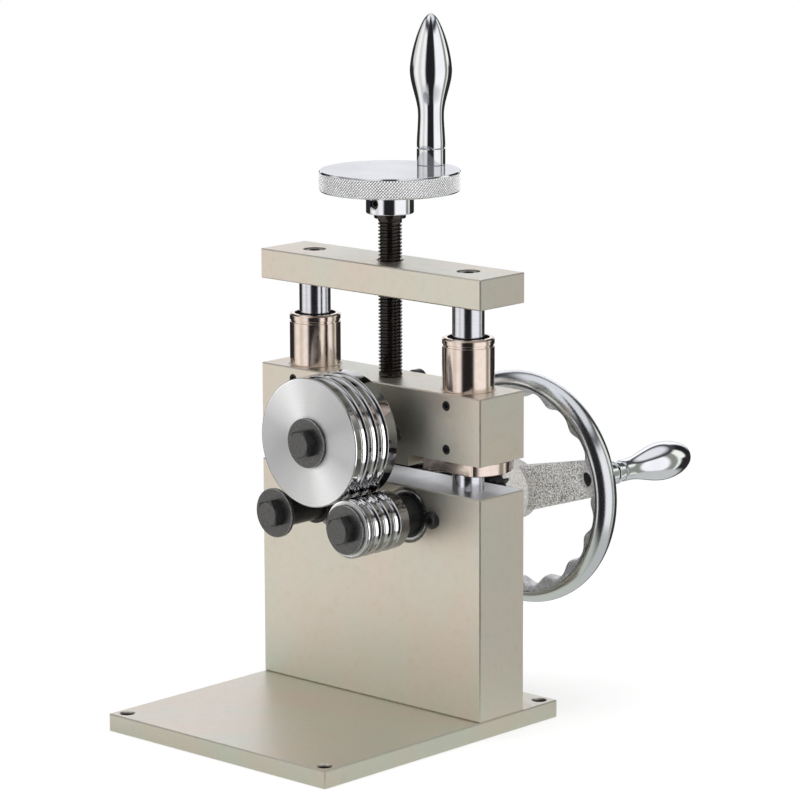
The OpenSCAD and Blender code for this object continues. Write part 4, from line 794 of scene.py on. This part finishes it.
# The rim's half section (radius, height from its middle) from the outside in, up to where the bumps start.
RIM_HALF = ((60.52, 1.3), (59.6, 3.9), (57.75, 5.9), (55.85, 7.2), (54.1, 7.35), (52.8, 6.0))
BUMP_ROOT = 53
BUMP_HEIGHTS = (4.7, 3.5, 1.1)
BUMPS = 16
VALLEY_R = 50.7
BUMP_H = 3.4
BUMP_TURN = math.radians(2.9)
a = np.linspace(0, 2 * np.pi, 384, endpoint=False)
wave = (1 - np.cos(BUMPS * (a - SPOKE_ANGLE + BUMP_TURN))) / 2
inner = VALLEY_R - BUMP_H * wave ** 1.4
plain_r, plain_y = np.array(RIM_HALF).T
half_r = np.concatenate([plain_r[:, None] + 0 * a, [(inner + BUMP_ROOT) / 2, inner + 0.5, inner]])
half_y = np.concatenate([plain_y, BUMP_HEIGHTS])
control = np.stack([np.concatenate([half_r, half_r[::-1]]),
                    np.concatenate([half_y, -half_y[::-1]])[:, None] + 0 * a], axis=-1)
r, y = np.moveaxis(splined(control, 3), -1, 0)
rim = np.stack([SHAFT_X + r * np.cos(a), RIM_MID + y, LOWER_Z + r * np.sin(a)], axis=-1)

WHEEL_HUB_R = 15.5
HUB_NOSE_R = 11.5
HUB_NOSE_H = 11
SPOKE_IN = 8
SPOKE_OUT = 57
SPOKE_L = 56.8
SPOKE_HALF_W = 12.5
SPOKE_TAPER = 3.5
SPOKE_HALF_T = 4
FLARE_START = 50
FLARE = 1.2
DISH = 9.5


def spoke(direction):
    """Spoke lofted outwards in direction: at each distance s from the axis its section is the superellipse
    |u / half width| ** 5 + |v / half thickness| ** 5 = 1, tapering and dished back towards the rim."""
    s = np.concatenate([[SPOKE_IN], np.linspace(SPOKE_IN, SPOKE_OUT, 50), [SPOKE_OUT]])[:, None]
    b = np.linspace(0, 2 * np.pi, 64, endpoint=False)[None, :]
    flare = np.clip((s - FLARE_START) / (SPOKE_OUT - FLARE_START), 0, 1) ** 2
    shut = np.ones_like(s)
    shut[[0, -1]] = 0
    wide = (SPOKE_HALF_W - SPOKE_TAPER * s / SPOKE_L + FLARE * flare) * shut
    u = wide * np.sign(np.cos(b)) * np.abs(np.cos(b)) ** 0.4
    v = SPOKE_HALF_T * shut * np.sign(np.sin(b)) * np.abs(np.sin(b)) ** 0.4
    dish = WHEEL_FRONT + 15 + DISH * np.clip((s - WHEEL_HUB_R) / (SPOKE_L - WHEEL_HUB_R), 0, 1.05)
    x = s * math.cos(direction) - u * math.sin(direction)
    z = s * math.sin(direction) + u * math.cos(direction)
    return np.stack([SHAFT_X + x, dish + v, LOWER_Z + z], axis=-1)


hub = softened([
    (HUB_BORE, WHEEL_FRONT + 13), (HUB_BORE, WHEEL_FRONT), (HUB_NOSE_R, WHEEL_FRONT, 1.2),
    (WHEEL_HUB_R, WHEEL_FRONT + HUB_NOSE_H, 3), (WHEEL_HUB_R, HUB_BACK, 1.2), (HUB_BORE, HUB_BACK),
    (HUB_BORE, WHEEL_FRONT + 13.5),
])
SEAT = WHEEL_FRONT + 29.4
GRIP_R = 47.5
BOSS_R = 7.2
BOSS_H = 6
grip_axis = (SHAFT_X + GRIP_R * math.cos(SPOKE_ANGLE), LOWER_Z + GRIP_R * math.sin(SPOKE_ANGLE))
boss = softened([(0, SEAT - BOSS_H), (BOSS_R, SEAT - BOSS_H), (BOSS_R, SEAT, 0.8), (0, SEAT)])
finished_piece("cast_handwheel", [
    (spoke(SPOKE_ANGLE + math.pi), "tube"), (rim, "ring"), (turned(hub, wheel_axis, "y"), "ring"),
    (turned(boss, grip_axis, "y", 64), "tube"),
], [cast], "drive_spindle", "cast_metal", "handwheel")
tapped = finished_piece("tapped_spoke", [(spoke(SPOKE_ANGLE), "tube")], [cast], "drive_spindle", "cast_metal")
TAP_R = 4.03
TAP_MOUTH_R = 4.8
tapped_hole = [(0, SEAT - 14), (TAP_MOUTH_R, SEAT - 14), (TAP_MOUTH_R, SEAT - 11), (TAP_R, SEAT - 10.2),
               (TAP_R, SEAT - 7), (0, SEAT - 7)]
bored(tapped, turned(tapped_hole, grip_axis, "y", 48))

# Wheel handle
# A pear-shaped handle of polished, chromed steel that spins on a long-necked spindle screwed into the
# boss of one spoke; the neck has two turned beads.
STUD_L = 9
NECK_L = 17
NECK_BAR_R = 5.2
BEAD_R = 5.9
COLLAR_BEAD_R = 6.2
WHEEL_PIN_L = 40.8
neck_end = SEAT + NECK_L
neck = softened([
    (0, SEAT - STUD_L), (TANG_R, SEAT - STUD_L, 0.5), (TANG_R, SEAT), (COLLAR_BEAD_R, SEAT, 0.5),
    (COLLAR_BEAD_R, SEAT + 3, 0.6), (NECK_BAR_R, SEAT + 3.6, 0.2), (NECK_BAR_R, SEAT + 11, 0.2),
    (BEAD_R, SEAT + 11.6, 0.4), (BEAD_R, SEAT + 13.6, 0.4), (NECK_BAR_R, SEAT + 14.2, 0.2),
    (NECK_BAR_R, neck_end, 0.4), (PIN_R, neck_end), (PIN_R, neck_end + WHEEL_PIN_L, 0.4),
    (0, neck_end + WHEEL_PIN_L),
])
finished_piece("wheel_spindle", [(turned(neck, grip_axis, "y", 96), "tube")], [chrome], "drive_spindle",
               "chrome", "wheel_handle_spindle")
grip = handle_section(base=neck_end + FREE, length=54.5, foot=5.5, waist=5.5, belly=9.8, waist_h=5.45,
                      belly_h=33.8, fullness=2.0, pin=41.2)
finished_piece("wheel_grip", [(turned(grip, grip_axis, "y"), "tube")], [chrome], "wheel_grip", "chrome",
               "wheel_handle")

# Studio
# A pale floor that runs out into a white surround, soft light from the left, and darker sides that
# give the polished metal its edges.
CAMERA_AZIMUTH = math.radians(42.839)
CAMERA_RISE = math.radians(11.277)
CAMERA_ROLL = math.radians(-0.189)
# Walls of the room by their angle from the camera's side, in degrees, and floor and ceiling by the height of
# the direction, from -1 to 1; where a tier is see-through, the walls show.
PANELS = (
    (-180, "#fafbff"), (-160, "#fafbff"), (-150, "#222224"), (-128, "#222224"), (-116, "#d6d4d0"),
    (-60, "#d8d6d2"), (-50, "#f2f2f2"), (-37, "#f2f2f2"), (-27, "#222123"), (19, "#222123"), (28, "#f6f6f6"),
    (80, "#f6f6f8"), (86, "#8a8c84"), (98, "#8a8c84"), (104, "#f3f6ee"), (119, "#f3f6ee"), (125, "#222224"),
    (150, "#222224"), (160, "#fafbff"), (180, "#fafbff"),
)
TIERS = (
    (-0.6, "#bcbebd"), (-0.48, "#bcbebd00"), (0.52, "#47474a00"), (0.61, "#47474a"), (0.68, "#47474a"),
    (0.8, "#e2e3e6"),
)
BEHIND = math.radians(105), math.radians(112)
AHEAD = math.radians(14), math.radians(24)
SKIRT = -0.02, 0.06
STRIP = math.radians(-86)
STRIP_HALF = math.radians(10), math.radians(13)
STRIP_LIGHT = 0.22
ROOM_LIGHT = 1.15
WHITE = (1, 1, 1, 1)
world = bpy.data.worlds.new("studio")
bpy.context.scene.world = world
world.use_nodes = True
tree = world.node_tree
tree.nodes.clear()
look = add(tree, "SeparateXYZ", {"Vector": add(tree, "TexCoord").outputs["Generated"]}).outputs
front = add(tree, "Math", {0: look["Y"], 1: -1.0}, operation="MULTIPLY")
bearing = add(tree, "Math", {0: look["X"], 1: front}, operation="ARCTAN2")
turn = add(tree, "Math", {0: bearing, 1: CAMERA_AZIMUTH}, operation="SUBTRACT")
wrapped = add(tree, "Math", {0: turn, 1: -math.pi, 2: math.pi}, operation="WRAP")
around = add(tree, "MapRange", {"Value": wrapped, "From Min": -math.pi, "From Max": math.pi})
panels = add(tree, "ValToRGB", {"Fac": around}, [((angle + 180) / 360, code) for angle, code in PANELS])
level = add(tree, "MapRange", {"Value": look["Z"], "From Min": -1.0})
tiers = add(tree, "ValToRGB", {"Fac": level}, [((height + 1) / 2, code) for height, code in TIERS])
sideways = add(tree, "Math", {0: wrapped}, operation="ABSOLUTE")
behind = add(tree, "MapRange", {"Value": sideways, "From Min": BEHIND[0], "From Max": BEHIND[1]})
below = add(tree, "MapRange", {
    "Value": look["Z"], "From Min": SKIRT[0], "From Max": SKIRT[1], "To Min": 1.0, "To Max": 0.0,
})
skirt = add(tree, "Math", {0: behind, 1: below}, operation="MULTIPLY")
walls = add(tree, "MixRGB", {"Fac": skirt, "Color1": panels, "Color2": linear("#2b292b")})
ahead = add(tree, "MapRange", {"Value": sideways, "From Min": AHEAD[0], "From Max": AHEAD[1]})
tiered = add(tree, "Math", {0: tiers.outputs["Alpha"], 1: ahead}, operation="MULTIPLY")
dome = add(tree, "MixRGB", {"Fac": tiered, "Color1": walls, "Color2": tiers})
aside = add(tree, "Math", {0: wrapped, 1: STRIP}, operation="SUBTRACT")
strip = add(tree, "MapRange", {
    "Value": add(tree, "Math", {0: aside}, operation="ABSOLUTE"), "From Min": STRIP_HALF[0],
    "From Max": STRIP_HALF[1], "To Min": STRIP_LIGHT, "To Max": 0.0,
})
lit = add(tree, "MixRGB", {"Fac": 1.0, "Color1": dome, "Color2": strip}, blend_type="ADD")
seen = add(tree, "LightPath").outputs["Is Camera Ray"]
glow = add(tree, "Background", {
    "Color": add(tree, "MixRGB", {"Fac": seen, "Color1": lit, "Color2": WHITE}),
    "Strength": add(tree, "MapRange", {"Value": seen, "To Min": ROOM_LIGHT, "To Max": 1.0}),
})
add(tree, "OutputWorld", {"Surface": glow})

# White paper is matt: near the object it takes its shadow, and further out it is as white as the surround.
# What mirrors it sees a grey table round the object. Distances are in metres.
REACH = 6.0
HALF_WIDTH = 0.073
HALF_DEPTH = 0.083
# How far the shadow and the table reach in full, where each ends, and how strong it is.
SHADOW = 0.16, 0.42, 0.4
TABLE = 0.11, 0.19, 1.0
floor_mesh = bpy.data.meshes.new("studio_floor")
corner = np.array([(-1, -1, 0), (1, -1, 0), (1, 1, 0), (-1, 1, 0)]) * REACH
floor_mesh.from_pydata(corner.tolist(), [], [(0, 1, 2, 3)])
floor = placed("studio_floor", floor_mesh)
paper, tree, place = new_finish("white_paper")
away = add(tree, "VectorMath", {0: place}, operation="LENGTH").outputs["Value"]
near, table = (add(tree, "MapRange", {
    "Value": away, "From Min": full, "From Max": gone, "To Min": strength, "To Max": 0.0,
}, interpolation_type="SMOOTHSTEP") for full, gone, strength in (SHADOW, TABLE))
share = add(tree, "VectorMath", {0: place, 1: (1 / HALF_WIDTH, 1 / HALF_DEPTH, 0)}, operation="MULTIPLY")
span = add(tree, "VectorMath", {0: share}, operation="ABSOLUTE")
side = add(tree, "SeparateXYZ", {"Vector": span}).outputs
reach = add(tree, "Math", {0: side["X"], 1: side["Y"]}, operation="MAXIMUM")
under = add(tree, "Math", {0: reach, 1: 1.0}, operation="LESS_THAN")
shade = add(tree, "Math", {0: near, 1: under}, operation="MAXIMUM")
ray = add(tree, "LightPath").outputs
matt = add(tree, "BsdfDiffuse", {"Color": linear("#f6f6f4")})
white = add(tree, "Emission", {"Color": WHITE, "Strength": 1.0})
grey = add(tree, "Emission", {"Color": linear("#ccd0c8"), "Strength": 1.0})
seen = add(tree, "MixShader", {"Fac": shade, 1: white, 2: matt})
mirrored = add(tree, "MixShader", {"Fac": table, 1: add(tree, "BsdfTransparent"), 2: grey})
open_floor = add(tree, "Math", {0: 1.0, 1: under}, operation="SUBTRACT")
glossy = add(tree, "Math", {0: ray["Is Glossy Ray"], 1: open_floor}, operation="MULTIPLY")
other = add(tree, "MixShader", {"Fac": glossy, 1: matt, 2: mirrored})
shown = add(tree, "MixShader", {"Fac": ray["Is Camera Ray"], 1: other, 2: seen})
add(tree, "OutputMaterial", {"Surface": shown})
floor_mesh.materials.append(paper)


def upright(place, back):
    """Pose of a lamp or camera that stands upright at place, with its back along the given direction."""
    back = np.array(back, float) / np.linalg.norm(back)
    right = np.cross((0, 0, 1), back)
    right /= np.linalg.norm(right)
    pose = np.eye(4)
    pose[:3, :3] = np.stack([right, np.cross(back, right), back], axis=1)
    pose[:3, 3] = place
    return Matrix(pose.tolist())


def soft_lamp(name, place, aim, size, power):
    """Square area lamp at place that shines towards aim and isn't seen in mirrors."""
    lamp = bpy.data.lights.new(name, "AREA")
    lamp.shape, lamp.size, lamp.energy = "SQUARE", size, power
    made = placed(name, lamp)
    made.matrix_world = upright(place, np.subtract(place, aim))
    made.visible_glossy = False
    return made


OBJECT_MID = (0, 0, 0.15)
soft_lamp("left_softbox", place=(-1.3, -1.2, 1.6), aim=OBJECT_MID, size=1.4, power=8)
soft_lamp("top_softbox", place=(0.1, 0.1, 1.9), aim=OBJECT_MID, size=1.6, power=26)
soft_lamp("right_softbox", place=(1.5, -0.9, 0.6), aim=(0.03, 0.1, 0.12), size=0.9, power=16)

# Two lamps that only the rollers mirror give their rims the highlights.
rollers = bpy.data.collections.new("lit_by_glint")
rollers.objects.link(bpy.data.objects["grooved_roller_upper"])
rollers.objects.link(bpy.data.objects["grooved_roller_drive"])
for name, place, size, power in (("glint_softbox", (-1.05, -0.66, 0.2), 0.45, 1.3),
                                 ("flank_softbox", (0.8, -0.05, 0.05), 0.8, 5.6)):
    glint = soft_lamp(name, place, (0, -0.05, UPPER_Z * MM), size, power)
    glint.visible_glossy = True
    glint.light_linking.receiver_collection = rollers

# A lamp that only the plates mirror keeps their top faces light when they are seen from behind.
plates = bpy.data.collections.new("lit_by_fill")
for node in ("base_plate", "lower_block", "upper_block", "crossbar"):
    plates.objects.link(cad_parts[node])
fill = soft_lamp("fill_softbox", place=(1.7, -1.83, 0.95), aim=OBJECT_MID, size=1.5, power=4.5)
fill.visible_glossy = True
fill.visible_camera = False
fill.light_linking.receiver_collection = plates

# Camera
# The photograph's viewpoint: a long lens, from the right of the front and a little above. The shift puts
# the object where it stands in the photograph's frame.
CAMERA_PLACE = np.array([1312.9, -1368.4, 545.3])
lens = bpy.data.cameras.new("camera")
lens.lens, lens.sensor_width = 175.5, 36
lens.shift_x, lens.shift_y = 0.0033, -0.0022
lens.clip_start, lens.clip_end = 0.1, 50
camera = placed("camera", lens)
bpy.context.scene.camera = camera
level = math.cos(CAMERA_RISE)
back = (math.sin(CAMERA_AZIMUTH) * level, -math.cos(CAMERA_AZIMUTH) * level, math.sin(CAMERA_RISE))
camera.matrix_world = upright(CAMERA_PLACE * MM, back) @ Matrix.Rotation(CAMERA_ROLL, 4, "Z")
bpy.context.scene.view_settings.view_transform = "Standard"
